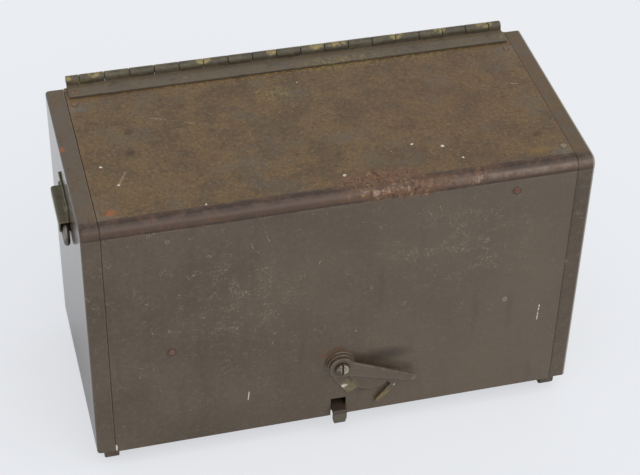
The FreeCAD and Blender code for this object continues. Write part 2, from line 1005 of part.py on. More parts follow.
def make_lid_strips():
    """Flat seating strips along the inside of the lid's side edges."""
    strips = []
    deepest = S.lid_sheet + S.strip_thickness
    low = base + S.case_sheet * 2
    rear = barrel_y - S.leaf_width - S.lid_sheet
    for side in (-1, 1):
        made = body("lid_strip")
        outline = wrap(front, top, S.lid_bend, S.lid_sheet, deepest, low, rear)
        prism(made, "YZ", side * (strip_outer - S.strip_width), side * strip_outer, [outline])
        strips.append(made)
    node(together("lid_strip_set", strips), "lid_side_strips")


def make_lid_rivets():
    rivets = [rivet("card_rivet", "-Y", x, front, z) for x, z in card_rivets]
    rivets += [rivet("strip_rivet", "+Z", x, y, top) for x, y in strip_rivets]
    leaf_y = barrel_y - S.leaf_rivet_reach
    leaf_z = top + S.leaf_sheet
    rivets += [rivet("lid_leaf_rivet", "+Z", x, leaf_y, leaf_z) for x in leaf_rivet_places()]
    node(together("lid_rivet_set", rivets), "lid_rivets")


def make_card():
    """Riveted frame inside the lid front, with a plain card behind its window."""
    made = body("card_frame_body")
    margin = S.card_frame_margin
    half = card_half + margin
    low = card_low - margin
    high = card_high + margin
    rail = S.card_frame_rail
    inner = lid_inner_front + S.card_frame_sheet
    window = rectangle(rail - half, half - rail, low + rail, high - rail)
    prism(made, "XZ", lid_inner_front, inner, [rectangle(-half, half, low, high), window])
    slot_half = half - rail / 2 - margin / 2
    slot = rectangle(-slot_half, slot_half, low + rail / 2, high - rail / 2)
    prism(made, "XZ", lid_inner_front - S.card_frame_sheet, lid_inner_front + S.card_thickness,
          [slot], cut=True)
    node(made, "card_frame")
    gap = S.card_gap
    card = block("card_sheet", (gap - slot_half, slot_half - gap),
                 (lid_inner_front, lid_inner_front + S.card_thickness),
                 (low + rail / 2 + gap, high - rail / 2 - gap))
    node(card, "blank_card")


# ---------------------------------------------------------------- latch

hook_near = front - S.base_plate_sheet - S.plate_gap
hook_far = hook_near - S.hook_sheet
lever_near = hook_far - S.boss_height
lever_far = lever_near - S.lever_sheet
screw_face = lever_far - S.plate_gap


def stud_hole(owner):
    bore = [(0, 0, S.stud_radius + S.stud_fit)]
    prism(owner, "XZ", screw_face, lid_inner_front, circles=bore, cut=True)


def make_latch_base():
    """Fixed wear plate: round head under the pivot and a tapered tail."""
    made = body("latch_base_plate_body")
    far = front - S.base_plate_sheet
    prism(made, "XZ", far, front, circles=[(0, 0, S.base_plate_radius)])
    angle = -S.base_plate_angle
    end_x, end_z = polar(S.base_plate_tail, angle)
    side_x, side_z = -sine(angle), cosine(angle)
    half = S.base_plate_end / 2
    root = S.base_plate_radius
    tail = [
        (-(side_x * root), -(side_z * root)),
        (end_x - side_x * half, end_z - side_z * half),
        (end_x + side_x * half, end_z + side_z * half),
        (side_x * root, side_z * root),
    ]
    prism(made, "XZ", far, front, [tail])
    stud_hole(made)
    put(made, 0, 0, latch_z)
    node(made, "latch_base_plate")


def make_latch_hook():
    """Turning plate whose finger passes behind the catch lip and under its strap."""
    made = body("latch_hook_body")
    prism(made, "XZ", hook_far, hook_near, circles=[(0, 0, S.hook_hub_radius)])
    half = S.finger_width / 2
    root_reach = latch_z - strap_under + S.finger_gap + half
    tip_reach = root_reach + S.finger_flare
    throat = latch_z - strap_top - S.throat_depth
    root_x, root_z = polar(root_reach, -S.finger_root_angle)
    tip_x, tip_z = polar(tip_reach, -S.finger_tip_angle)
    lean = -(S.finger_root_angle + S.finger_tip_angle) / 2
    out_x, out_z = polar(half, lean)
    heel_x, heel_z = polar(throat - S.heel_setback, -S.heel_angle)
    mouth_x, mouth_z = polar(throat + half / 2, -(S.finger_root_angle + S.mouth_lead))
    crook_x, crook_z = polar(root_reach - S.crook_width, S.crook_lead - S.finger_root_angle)
    shoulder_x, shoulder_z = polar(root_reach, S.shoulder_lead - S.finger_root_angle)
    knee_x, knee_z = polar(root_reach - S.heel_setback / 2, -S.lever_angle)
    outline = [
        (0, 0),
        (heel_x, heel_z),
        (mouth_x, mouth_z, throat / 2),
        (crook_x, crook_z),
        (root_x - out_x, root_z - out_z),
        (tip_x - out_x, tip_z - out_z),
        (tip_x + out_x, tip_z + out_z),
        (root_x + out_x, root_z + out_z),
        (shoulder_x, shoulder_z),
        (knee_x, knee_z),
    ]
    prism(made, "XZ", hook_far, hook_near, [outline])
    stud_hole(made)
    put(made, 0, 0, latch_z)
    node(made, "latch_hook")


def make_latch_lever():
    """Flat finger lever on a low boss, tapering in two steps to a rounded tip."""
    made = body("latch_lever_body")
    head = S.lever_head_radius
    root = S.lever_root_width / 2
    waist = S.lever_waist_width / 2
    tip = S.lever_tip_width / 2
    end = S.lever_length
    prism(made, "XZ", lever_far, lever_near, circles=[(0, 0, head)])
    outline = [
        (0, -root),
        (S.lever_waist_reach, -waist),
        (end - tip, -tip),
        (end, 0, tip),
        (end - tip, tip, tip),
        (S.lever_waist_reach, waist),
        (head, root),
        (0, S.lever_shoulder),
    ]
    prism(made, "XZ", lever_far, lever_near, [outline])
    prism(made, "XZ", lever_near, hook_far, circles=[(0, 0, S.boss_radius)])
    stud_hole(made)
    made.Placement = Placement(Vector(), Rotation(Vector(0, 1, 0), 1))
    bind(made, "Placement.Rotation.Angle", S.lever_angle)
    put(made, 0, 0, latch_z)
    node(made, "latch_lever")


def make_latch_screw():
    """Slotted pivot screw through the latch and the lid."""
    made = body("latch_pivot_screw_body")
    head = S.screw_head_radius
    height = S.screw_head_height
    shank = S.stud_radius
    crown = S.screw_head_crown
    length = lid_inner_front + S.nut_height + S.lid_sheet - screw_face
    turned(made, [
        (0, -length),
        (shank, -length),
        (shank, 0),
        (head, 0),
        (head, height - crown),
        (head - crown, height),
        (0, height),
    ])
    half = S.screw_slot_width / 2
    slot = rectangle(-half, half, -head * 2, head * 2)
    prism(made, "XY", height - S.screw_slot_depth, height + crown, [slot], cut=True)
    made.Placement = Placement(Vector(), TURNS["-Y"])
    put(made, 0, screw_face, latch_z)
    node(made, "latch_pivot_screw")


def make_latch_nut():
    made = body("latch_nut_body")
    corners = [polar(S.nut_radius, 60 * step) for step in range(6)]
    near = lid_inner_front
    prism(made, "XZ", near, near + S.nut_height, [corners], [(0, 0, S.stud_radius + S.stud_fit)])
    put(made, 0, 0, latch_z)
    node(made, "latch_nut")


# ---------------------------------------------------------------- compartments

partition_y = S.partition_offset
tray_right = inner_end - S.tab_width - S.tray_right_gap
tray_width = S.cell_width * 2 + S.cell_gap * 3 + S.tray_sheet * 2
tray_left = tray_right - tray_width
shelf_z = floor + S.partition_height
panel_top = shelf_z + S.panel_thickness
panel_front = partition_y
panel_rear = back - S.case_sheet - S.panel_gap
panel_low_x = S.panel_end_gap - inner_end
panel_high_x = tray_left - S.panel_tray_gap


def make_partition():
    """Sheet across the case between handset and works, flanged on the floor and at the top."""
    made = body("partition_body")
    thick = S.case_sheet
    outline = [
        (partition_y - S.tab_width, floor),
        (partition_y + thick, floor),
        (partition_y + thick, shelf_z - thick),
        (partition_y + S.shelf_flange, shelf_z - thick),
        (partition_y + S.shelf_flange, shelf_z),
        (partition_y, shelf_z),
        (partition_y, floor + thick),
        (partition_y - S.tab_width, floor + thick),
    ]
    reach = inner_end - S.tab_width - S.partition_end_gap
    prism(made, "YZ", -reach, reach, [outline])
    clear = rectangle(panel_high_x, reach + thick, partition_y + thick,
                      partition_y + S.shelf_flange + thick)
    prism(made, "XY", shelf_z - thick * 2, shelf_z + thick, [clear], cut=True)
    node(made, "partition")


def make_panel():
    """Moulded panel for the works, on the partition flange and an angle along the back."""
    made = body("instrument_panel_body")
    prism(made, "XY", shelf_z, panel_top, [rectangle(panel_low_x, panel_high_x, panel_front, panel_rear)])
    edge = Vector(0, 0, 1)
    round_edges(made, S.can_corner, lambda item: runs_along(item, edge))
    node(made, "instrument_panel")

    support = body("panel_support_body")
    thick = S.case_sheet
    leg = S.support_leg
    wall = back - thick
    outline = [
        (wall - leg, shelf_z - thick),
        (wall - thick, shelf_z - thick),
        (wall - thick, shelf_z - leg),
        (wall, shelf_z - leg),
        (wall, shelf_z),
        (wall - leg, shelf_z),
    ]
    prism(support, "YZ", panel_low_x, panel_high_x, [outline])
    node(support, "panel_support")


def make_panel_screws():
    inset = S.panel_screw_inset
    screws = []
    for x in (panel_low_x + inset, panel_high_x - inset):
        for y in (panel_front + inset, panel_rear - inset):
            made = body("panel_screw")
            head = S.panel_screw_radius
            prism(made, "XY", 0, S.rivet_head_height, [facets(0, 0, head, SMALL_ROUND_SIDES)])
            half = S.screw_slot_width / 2
            slot = rectangle(-half, half, -head * 2, head * 2)
            prism(made, "XY", S.rivet_head_height / 2, S.rivet_head_height * 2, [slot], cut=True)
            put(made, x, y, panel_top)
            screws.append(made)
    node(together("panel_screw_set", screws), "panel_screws")


# ---------------------------------------------------------------- battery

tray_front = partition_y + S.case_sheet + S.cell_gap
tray_depth = S.cell_width + S.cell_gap * 2 + S.tray_sheet * 2
cell_floor = floor + S.tray_sheet
cell_top = cell_floor + S.cell_height
cell_y = tray_front + tray_depth / 2
cell_left_x = tray_left + S.tray_sheet + S.cell_gap + S.cell_width / 2
cell_right_x = cell_left_x + S.cell_width + S.cell_gap


def make_battery_tray():
    made = body("battery_tray_body")
    rear = tray_front + tray_depth
    thick = S.tray_sheet
    prism(made, "XY", floor, floor + S.tray_height, [rectangle(tray_left, tray_right, tray_front, rear)])
    edge = Vector(0, 0, 1)
    round_edges(made, S.cell_corner + thick, lambda item: runs_along(item, edge))
    hollow = [
        (tray_left + thick + S.cell_corner, tray_front + thick, S.cell_corner),
        (tray_right - thick - S.cell_corner, tray_front + thick),
        (tray_right - thick, tray_front + thick + S.cell_corner, S.cell_corner),
        (tray_right - thick, rear - thick - S.cell_corner),
        (tray_right - thick - S.cell_corner, rear - thick, S.cell_corner),
        (tray_left + thick + S.cell_corner, rear - thick),
        (tray_left + thick, rear - thick - S.cell_corner, S.cell_corner),
        (tray_left + thick, tray_front + thick + S.cell_corner),
    ]
    prism(made, "XY", cell_floor, floor + S.tray_height + thick, [hollow], cut=True)
    node(made, "battery_tray")


def make_cell(x, label):
    """Square dry cell with rounded corners and a sealing compound sunk below its rim."""
    made = body(label + "_body")
    half = S.cell_width / 2
    prism(made, "XY", cell_floor, cell_top, [rectangle(-half, half, -half, half)])
    edge = Vector(0, 0, 1)
    round_edges(made, S.cell_corner, lambda item: runs_along(item, edge))
    inner = half - S.cell_recess
    prism(made, "XY", cell_top - S.cell_recess, cell_top + S.cell_recess,
          [rectangle(-inner, inner, -inner, inner)], cut=True)
    put(made, x, cell_y, 0)
    node(made, label)


def make_cell_fittings():
    """Two posts on each cell and the strip that joins the cells in series."""
    seat = cell_top - S.cell_recess
    offset = S.cell_width / 4
    places = [
        (cell_left_x - offset, cell_y - offset),
        (cell_left_x + offset, cell_y + offset),
        (cell_right_x - offset, cell_y + offset),
        (cell_right_x + offset, cell_y - offset),
    ]
    posts = []
    for x, y in places:
        posts.append(post("cell_post", S.cell_post_radius, S.cell_post_height, x, y, seat))
    node(together("cell_post_set", posts), "cell_terminals")
    lift = seat + S.cell_post_height
    half = S.cell_post_radius
    link = block("cell_link_strip", (places[1][0] - half, places[2][0] + half),
                 (places[1][1] - half, places[1][1] + half), (lift, lift + S.cell_link_sheet))
    node(link, "cell_link")


# ---------------------------------------------------------------- coil and capacitor

works_y = (partition_y + S.case_sheet + back - S.case_sheet) / 2
can_left = tray_left - S.can_tray_gap - S.can_length
coil_low_x = S.coil_end_gap - inner_end
coil_high_x = can_left - S.coil_can_gap


def make_induction_coil():
    cheek = S.cheek_thickness
    axis_z = floor + S.cheek_size / 2
    winding = body("induction_coil_body")
    core = [(works_y, axis_z, S.coil_core_radius + S.stud_fit)]
    prism(winding, "YZ", coil_low_x + cheek, coil_high_x - cheek,
          circles=[(works_y, axis_z, S.coil_radius)] + core)
    node(winding, "induction_coil_winding")
    frame = body("induction_coil_frame_body")
    half = S.cheek_size / 2
    square = rectangle(works_y - half, works_y + half, floor, floor + S.cheek_size)
    prism(frame, "YZ", coil_low_x, coil_high_x, circles=[(works_y, axis_z, S.coil_core_radius)])
    prism(frame, "YZ", coil_low_x, coil_low_x + cheek, [square])
    prism(frame, "YZ", coil_high_x - cheek, coil_high_x, [square])
    node(frame, "induction_coil_frame")


def make_capacitor():
    made = body("capacitor_can_body")
    right = can_left + S.can_length
    half = S.can_depth / 2
    prism(made, "XY", floor, floor + S.can_height,
          [rectangle(can_left, right, works_y - half, works_y + half)])
    edge = Vector(0, 0, 1)
    round_edges(made, S.can_corner, lambda item: runs_along(item, edge))
    middle = (can_left + right) / 2
    half_span = S.lug_span / 2
    lugs = [facets(middle + side * half_span, works_y, S.lug_radius, SMALL_ROUND_SIDES)
            for side in (-1, 1)]
    crown = floor + S.can_height
    prism(made, "XY", crown - S.lug_height / 4, crown + S.lug_height, lugs)
    node(made, "capacitor")


# ---------------------------------------------------------------- buzzer

armature_z = panel_top + S.yoke_height
buzzer_x = panel_high_x - S.buzzer_inset
yoke_x = buzzer_x - S.yoke_reach
pillar_x = buzzer_x + S.armature_reach - S.pillar_radius / 2


def make_buzzer():
    """L-shaped yoke with a pole, a wound spool, and a contact arm over the armature."""
    frame = body("buzzer_frame_body")
    thick = S.yoke_sheet
    half = S.buzzer_width / 2
    ell = [
        (yoke_x, panel_top),
        (buzzer_x + S.spool_radius, panel_top),
        (buzzer_x + S.spool_radius, panel_top + thick),
        (yoke_x + thick, panel_top + thick),
        (yoke_x + thick, armature_z),
        (yoke_x, armature_z),
    ]
    prism(frame, "XZ", works_y - half, works_y + half, [ell])
    pole_top = armature_z - S.pole_gap
    prism(frame, "XY", panel_top + thick / 2, pole_top, circles=[(buzzer_x, works_y, S.pole_radius)])
    node(frame, "buzzer_frame")

    spool = body("buzzer_coil_body")
    radius = S.spool_radius
    cheek = S.spool_cheek
    height = S.spool_height
    disc(spool, 0, cheek, radius, ROUND_SIDES)
    disc(spool, cheek, height - cheek, radius - cheek, ROUND_SIDES)
    disc(spool, height - cheek, height, radius, ROUND_SIDES)
    prism(spool, "XY", -cheek, height + cheek, circles=[(0, 0, S.pole_radius + S.stud_fit)], cut=True)
    put(spool, buzzer_x, works_y, panel_top + thick)
    node(spool, "buzzer_coil")

    reach = pillar_x + S.pillar_radius
    width = S.armature_width / 2
    armature = block("buzzer_armature_reed", (yoke_x, reach), (works_y - width, works_y + width),
                     (armature_z + S.contact_gap, armature_z + S.contact_gap + S.armature_sheet))
    node(armature, "buzzer_armature")

    arm_low = armature_z + S.armature_sheet + S.contact_gap * 2 + S.pole_gap
    arm_y = works_y + half + S.pillar_radius
    pillar = post("contact_pillar_post", S.pillar_radius, arm_low - panel_top,
                  pillar_x, arm_y, panel_top)
    arm = block("contact_arm", (pillar_x - S.pillar_radius, pillar_x + S.pillar_radius),
                (works_y - S.pillar_radius, arm_y + S.pillar_radius), (arm_low, arm_low + S.arm_sheet))
    tip = armature_z + S.armature_sheet + S.contact_gap * 2
    screw = post("contact_screw", S.contact_radius, arm_low + S.arm_sheet * 2 - tip,
                 pillar_x, works_y, tip)
    node(union("buzzer_contact_parts", [pillar, arm, screw]), "buzzer_contact")


# ---------------------------------------------------------------- Morse key

key_spare = yoke_x - panel_low_x - S.key_length
key_tail_x = yoke_x - key_spare * S.key_gap_share
key_x = key_tail_x - S.key_tail
key_z = panel_top + S.key_pivot_height
key_low = key_z - S.key_bar / 2
key_nose_x = key_tail_x - S.key_length
knob_x = key_nose_x + S.knob_setback


def make_key():
    """Brass lever rocking on a pin between two cheeks, with a knob, anvils and a leaf spring."""
    bridge = body("key_bridge_body")
    inner = S.key_width / 2 + S.key_side_gap
    outer = inner + S.key_cheek
    half = S.key_bridge_length / 2
    crest = key_z + S.key_pin_radius + S.key_cheek
    channel = [
        (works_y - outer, panel_top),
        (works_y + outer, panel_top),
        (works_y + outer, crest),
        (works_y + inner, crest),
        (works_y + inner, panel_top + S.key_cheek),
        (works_y - inner, panel_top + S.key_cheek),
        (works_y - inner, crest),
        (works_y - outer, crest),
    ]
    quarter = half / 2
    prism(bridge, "YZ", key_x - quarter, key_x + quarter, [channel])
    foot = rectangle(key_x - half, key_x + half, works_y - outer, works_y + outer)
    prism(bridge, "XY", panel_top, panel_top + S.key_cheek, [foot])
    bore = [(key_x, key_z, S.key_pin_radius + S.key_pin_fit)]
    prism(bridge, "XZ", works_y - outer * 2, works_y + outer * 2, circles=bore, cut=True)
    node(bridge, "key_bridge")

    pin = rod("key_pin_rod", "+Y", S.key_pin_radius, outer * 2, key_x, works_y - outer, key_z)
    node(pin, "key_pivot_pin")

    lever = body("key_lever_body")
    width = S.key_width / 2
    bar = rectangle(key_nose_x, key_tail_x, key_low, key_low + S.key_bar)
    prism(lever, "XZ", works_y - width, works_y + width, [bar])
    upright = Vector(0, 0, 1)
    round_edges(lever, S.key_round, lambda item: runs_along(item, upright))
    prism(lever, "XZ", works_y - width * 2, works_y + width * 2, circles=bore, cut=True)
    node(lever, "key_lever")

    knob = body("key_knob_body")
    shoulder = S.knob_height - S.knob_crown
    disc(knob, 0, S.knob_skirt, S.knob_radius, ROUND_SIDES)
    bevel_rim(knob, S.knob_skirt, S.knob_radius, ROUND_SIDES, S.knob_bevel)
    disc(knob, 0, S.knob_height, S.knob_neck_radius, ROUND_SIDES)
    disc(knob, shoulder, S.knob_height, S.knob_crown_radius, ROUND_SIDES)
    bevel_rim(knob, shoulder, S.knob_crown_radius, ROUND_SIDES, S.knob_bevel)
    bevel_rim(knob, S.knob_height, S.knob_crown_radius, ROUND_SIDES, S.knob_bevel)
    put(knob, knob_x, works_y, key_low + S.key_bar)
    node(knob, "key_knob")

    front_x = key_x - S.front_contact_reach
    back_x = key_x + S.back_contact_reach
    front_post = post("front_anvil", S.contact_post_radius,
                      key_low - S.front_contact_gap - panel_top, front_x, works_y, panel_top)
    back_post = post("back_anvil", S.contact_post_radius,
                     key_low - S.back_contact_gap - panel_top, back_x, works_y, panel_top)
    node(together("key_anvils", [front_post, back_post]), "key_contacts")

    spring = body("key_spring_body")
    thick = S.spring_sheet
    tip = key_x + S.spring_reach
    tip_z = key_low + S.key_bar + S.spring_gap
    leaf = [
        (key_x - quarter, crest),
        (tip - S.spring_fall, crest),
        (tip - thick, tip_z),
        (tip, tip_z),
        (tip, tip_z + thick),
        (tip - S.spring_fall, crest + thick),
        (key_x - quarter, crest + thick),
    ]
    prism(spring, "XZ", works_y - outer, works_y + outer, [leaf])
    node(spring, "key_spring")


# ---------------------------------------------------------------- line terminals

terminal_x = panel_low_x + S.terminal_setback
terminal_places = [
    (terminal_x, panel_front + S.terminal_inset),
    (terminal_x, panel_rear - S.terminal_inset),
]


THUMB_TOOTH_COUNT = 18


def make_terminals():
    """Collared brass posts, each with a toothed thumb nut over a gap for the wire."""
    posts = []
    for x, y in terminal_places:
        made = body("terminal_post")
        prism(made, "XY", 0, S.collar_height, [facets(0, 0, S.collar_radius, SMALL_ROUND_SIDES)])
        prism(made, "XY", 0, S.terminal_height, circles=[(0, 0, S.terminal_radius)])
        put(made, x, y, panel_top)
        posts.append(made)
    node(together("terminal_post_set", posts), "terminal_posts")
    grip_ring = []
    for step in range(THUMB_TOOTH_COUNT * 2):
        reach = S.thumb_radius - S.thumb_tooth * (step % 2)
        grip_ring.append(polar(reach, 180 * step / THUMB_TOOTH_COUNT))
    for label, (x, y) in zip(("front_terminal_nut", "rear_terminal_nut"), terminal_places):
        nut = body(label + "_body")
        bore = [(0, 0, S.terminal_radius + S.terminal_fit)]
        prism(nut, "XY", 0, S.thumb_height, [grip_ring], bore)
        put(nut, x, y, panel_top + S.collar_height + S.wire_gap)
        node(nut, label)


# ---------------------------------------------------------------- handset

handset_y = -S.handset_y
head_x = inner_end - S.head_setback
pressel_right = head_x - S.pressel_inset
pressel_top = S.grip_bottom + S.pressel_depth
pin_x = pressel_right - S.pressel_pin_inset
pin_z = S.grip_bottom + S.pressel_pin_rise


def make_handset_body():
    """One moulding: an arched grip between two round heads, hollow below, slotted for the bar."""
    made = body("handset_body_body")
    span = head_x
    half = S.grip_width / 2
    low = S.grip_bottom
    crown = S.grip_top
    fall = S.grip_fall
    arch = (span * span + fall * fall) / (fall * 2)
    grip = [
        (-span, low - fall),
        (0, low, -arch),
        (span, low - fall, -arch),
        (span, crown - fall),
        (0, crown, arch),
        (-span, crown - fall, arch),
    ]
    prism(made, "XZ", -half, half, [grip])
    bevel_edges(made, S.grip_bevel, lambda item: item.Curve.TypeId == "Part::GeomCircle"
                and abs(item.BoundBox.YLength) < 1e-6)
    heads = [(side * span, 0, S.head_radius) for side in (-1, 1)]
    prism(made, "XY", S.head_base, S.head_top, circles=heads)
    crown_z = SIZES["head_top"]
    bevel_edges(made, S.head_bevel, lambda item: item.Curve.TypeId == "Part::GeomCircle"
                and abs(item.BoundBox.ZMax - crown_z) < HAIR
                and abs(item.BoundBox.ZLength) < HAIR)
    cups = [(side * span, 0, S.head_radius - S.head_wall) for side in (-1, 1)]
    prism(made, "XY", S.head_base - S.head_wall, S.head_base + S.head_depth, circles=cups, cut=True)
    gap = S.pressel_gap
    reach = pressel_right + gap
    side_y = S.pressel_width / 2 + gap
    slot = rectangle(-reach, reach, -side_y, side_y)
    prism(made, "XY", low - fall, pressel_top, [slot], cut=True)
    bore = [(pin_x, pin_z, S.pressel_pin_radius + S.pressel_pin_fit)]
    prism(made, "XZ", -half * 2, half * 2, circles=bore, cut=True)
    put(made, 0, handset_y, 0)
    node(made, "handset_body")
    pin = rod("pressel_pin_rod", "+Y", S.pressel_pin_radius, S.pressel_pin_length,
              pin_x, handset_y - S.pressel_pin_length / 2, pin_z)
    node(pin, "pressel_pin")


def make_pressel():
    """Press-to-talk bar, hinged at its right end inside the grip's slot."""
    made = body("pressel_bar_body")
    half = S.pressel_width / 2
    low = S.grip_bottom - S.pressel_proud
    high = low + S.pressel_height
    left = -pressel_right
    nose = S.pressel_proud
    outline = [
        (left + nose, low, nose),
        (pressel_right - nose, low),
        (pressel_right, low + nose, nose),
        (pressel_right, high),
        (left, high),
        (left, low + nose),
    ]
    prism(made, "XZ", -half, half, [outline])
    bore = [(pin_x, pin_z, S.pressel_pin_radius + S.pressel_pin_fit)]
    prism(made, "XZ", -half * 2, half * 2, circles=bore, cut=True)
    put(made, 0, handset_y, 0)
    node(made, "pressel_bar")


def screwed_cap(owner):
    """Many-sided cap whose round recess slips over a head of the handset."""
    recess = S.head_radius + S.cap_fit
    outer = recess + S.cap_wall
    height = S.cap_floor + S.cap_overlap
    disc(owner, 0, height, outer, ROUND_SIDES)
    bevel_rim(owner, 0, outer, ROUND_SIDES, S.cap_wall)
    prism(owner, "XY", S.cap_floor, height + S.cap_floor, circles=[(0, 0, recess)], cut=True)


def make_handset_ends():
    cap_z = S.head_base - S.cap_floor
    ear = body("ear_cap_body")
    screwed_cap(ear)
    opening = facets(S.sound_hole_ring, 0, S.sound_hole_radius, SMALL_ROUND_SIDES)
    hole = prism(ear, "XY", -S.cap_floor, S.cap_floor * 2, [opening], cut=True)
    repeat_round_z(ear, hole, SOUND_HOLE_COUNT)
    put(ear, -head_x, handset_y, cap_z)
    node(ear, "ear_cap")

    mouth = body("mouthpiece_body")
    wide = S.horn_mouth
    throat = S.horn_root - S.horn_wall
    end = -S.horn_length
    inside = S.cap_floor / 2
    lean = (wide - S.horn_root - S.horn_wall) * cosine(180 / ROUND_SIDES)
    run = inside - end - S.horn_lip
    disc(mouth, end, inside, wide, ROUND_SIDES)
    taper = bevel_rim(mouth, inside, wide, ROUND_SIDES, run)
    taper.ChamferType = "Two distances"
    bind(taper, "Size2", lean)
    screwed_cap(mouth)
    disc(mouth, end - inside, S.cap_floor + inside, throat, ROUND_SIDES, cut=True)
    bevel_rim(mouth, end, throat, ROUND_SIDES, S.horn_flare)
    put(mouth, head_x, handset_y, cap_z)
    node(mouth, "mouthpiece")

    radius = S.head_radius - S.head_wall - S.capsule_gap
    seat = S.head_base + S.capsule_gap
    for side, label in ((-1, "receiver_capsule"), (1, "transmitter_capsule")):
        capsule = rod(label + "_can", "+Z", radius, S.capsule_height,
                      side * head_x, handset_y, seat)
        node(capsule, label)

    gland = body("cord_gland_body")
    bore = S.gland_bore
    root = S.gland_radius
    neck = (root + bore) / 2 + S.capsule_gap
    length = S.gland_length
    disc(gland, 0, length / 2, root, SMALL_ROUND_SIDES)
    disc(gland, 0, length, neck, SMALL_ROUND_SIDES)
    prism(gland, "XY", -length, length * 2, circles=[(0, 0, bore)], cut=True)
    gland.Placement = Placement(Vector(), TURNS["+X"])
    put(gland, head_x + S.head_radius, handset_y, S.head_base + S.head_depth / 2)
    node(gland, "cord_gland")


def make_cradle(side, label):
    """Spring clip under the grip, on an arm from the partition."""
    made = body(label + "_body")
    thick = S.cradle_sheet
    seat = S.grip_bottom - S.grip_fall / 2
    inner = S.grip_width / 2 + S.cradle_gap
    wall = partition_y - thick
    far = handset_y - inner
    near = handset_y + inner
    low = seat - thick
    arm = seat + S.cradle_arm
    outline = [
        (far - thick, low),
        (wall, low),
        (wall, shelf_z - S.cradle_leg),
        (partition_y, shelf_z - S.cradle_leg),
        (partition_y, seat),
        (near + thick, seat),
        (near + thick, arm),
        (near, arm),
        (near, seat),
        (far, seat),
        (far, arm),
        (far - thick, arm),
    ]
    middle = side * (head_x - S.cradle_inset)
    half = S.cradle_width / 2
    prism(made, "YZ", middle - half, middle + half, [outline])
    node(made, label)


# ---------------------------------------------------------------- assembly

make_case_shell()
make_end_panel(-1, "left_end_panel")
make_end_panel(1, "right_end_panel")
make_runner(-1, "left_runner")
make_runner(1, "right_runner")
make_catch()
make_strap_bracket(-1, "left_strap_bracket")
make_strap_bracket(1, "right_strap_bracket")
make_bracket_rivets()
make_ring(-1, "left_strap_ring")
make_ring(1, "right_strap_ring")
make_hinge()
make_lid_panel()
make_lid_strips()
make_lid_rivets()
make_card()
make_latch_base()
make_latch_hook()
make_latch_lever()
make_latch_screw()
make_latch_nut()
make_partition()
make_panel()
make_panel_screws()
make_battery_tray()
make_cell(cell_left_x, "left_dry_cell")
make_cell(cell_right_x, "right_dry_cell")
make_cell_fittings()
make_induction_coil()
make_capacitor()
make_buzzer()
make_key()
make_terminals()
make_handset_body()
make_pressel()
make_handset_ends()
make_cradle(-1, "left_cradle")
make_cradle(1, "right_cradle")

doc.recompute()
failed = [thing.Name for thing in doc.Objects if "Invalid" in thing.State or "Error" in thing.State]
failed += [thing.Label for thing in NODES if thing.Shape.isNull() or not thing.Shape.isValid()]
if failed:
    raise RuntimeError("these did not build: %s" % ", ".join(failed))

os.makedirs("parts", exist_ok=True)
for thing in NODES:
    thing.Shape.exportStep("parts/%s.step" % thing.Label)
print("%d nodes written" % len(NODES))
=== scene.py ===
import json
import math

import bmesh
import bpy
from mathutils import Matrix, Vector


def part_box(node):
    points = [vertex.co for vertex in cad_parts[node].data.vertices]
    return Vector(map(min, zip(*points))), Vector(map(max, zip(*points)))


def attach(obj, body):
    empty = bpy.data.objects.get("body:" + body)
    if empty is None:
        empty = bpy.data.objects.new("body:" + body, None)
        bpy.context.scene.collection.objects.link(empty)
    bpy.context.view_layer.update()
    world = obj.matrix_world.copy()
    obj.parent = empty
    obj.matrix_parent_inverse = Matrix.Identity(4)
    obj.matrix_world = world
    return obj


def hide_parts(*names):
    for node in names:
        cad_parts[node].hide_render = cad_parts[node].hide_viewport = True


# Field telephone: looks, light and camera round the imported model.
# Metres, +X right seen from the latch side, +Y towards the hinge, +Z up, table at z = 0.

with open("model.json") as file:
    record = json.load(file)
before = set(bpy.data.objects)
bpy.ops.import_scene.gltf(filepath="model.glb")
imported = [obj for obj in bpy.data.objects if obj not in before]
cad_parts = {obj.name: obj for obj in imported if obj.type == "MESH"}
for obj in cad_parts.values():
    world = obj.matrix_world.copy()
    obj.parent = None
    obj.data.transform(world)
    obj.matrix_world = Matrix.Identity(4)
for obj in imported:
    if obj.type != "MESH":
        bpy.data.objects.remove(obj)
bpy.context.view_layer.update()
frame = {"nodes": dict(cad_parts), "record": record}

MM = 0.001
NODES = frame["nodes"]


def mm(*values):
    return Vector(value * MM for value in values)


def tone(red, green, blue):
    """A colour written as it shows on screen, 0 to 255, as linear RGBA."""
    linear = []
    for part in (red, green, blue):
        share = part / 255
        linear.append(share / 12.92 if share <= 0.04045 else ((share + 0.055) / 1.055) ** 2.4)
    return (*linear, 1.0)


# ---- material building blocks

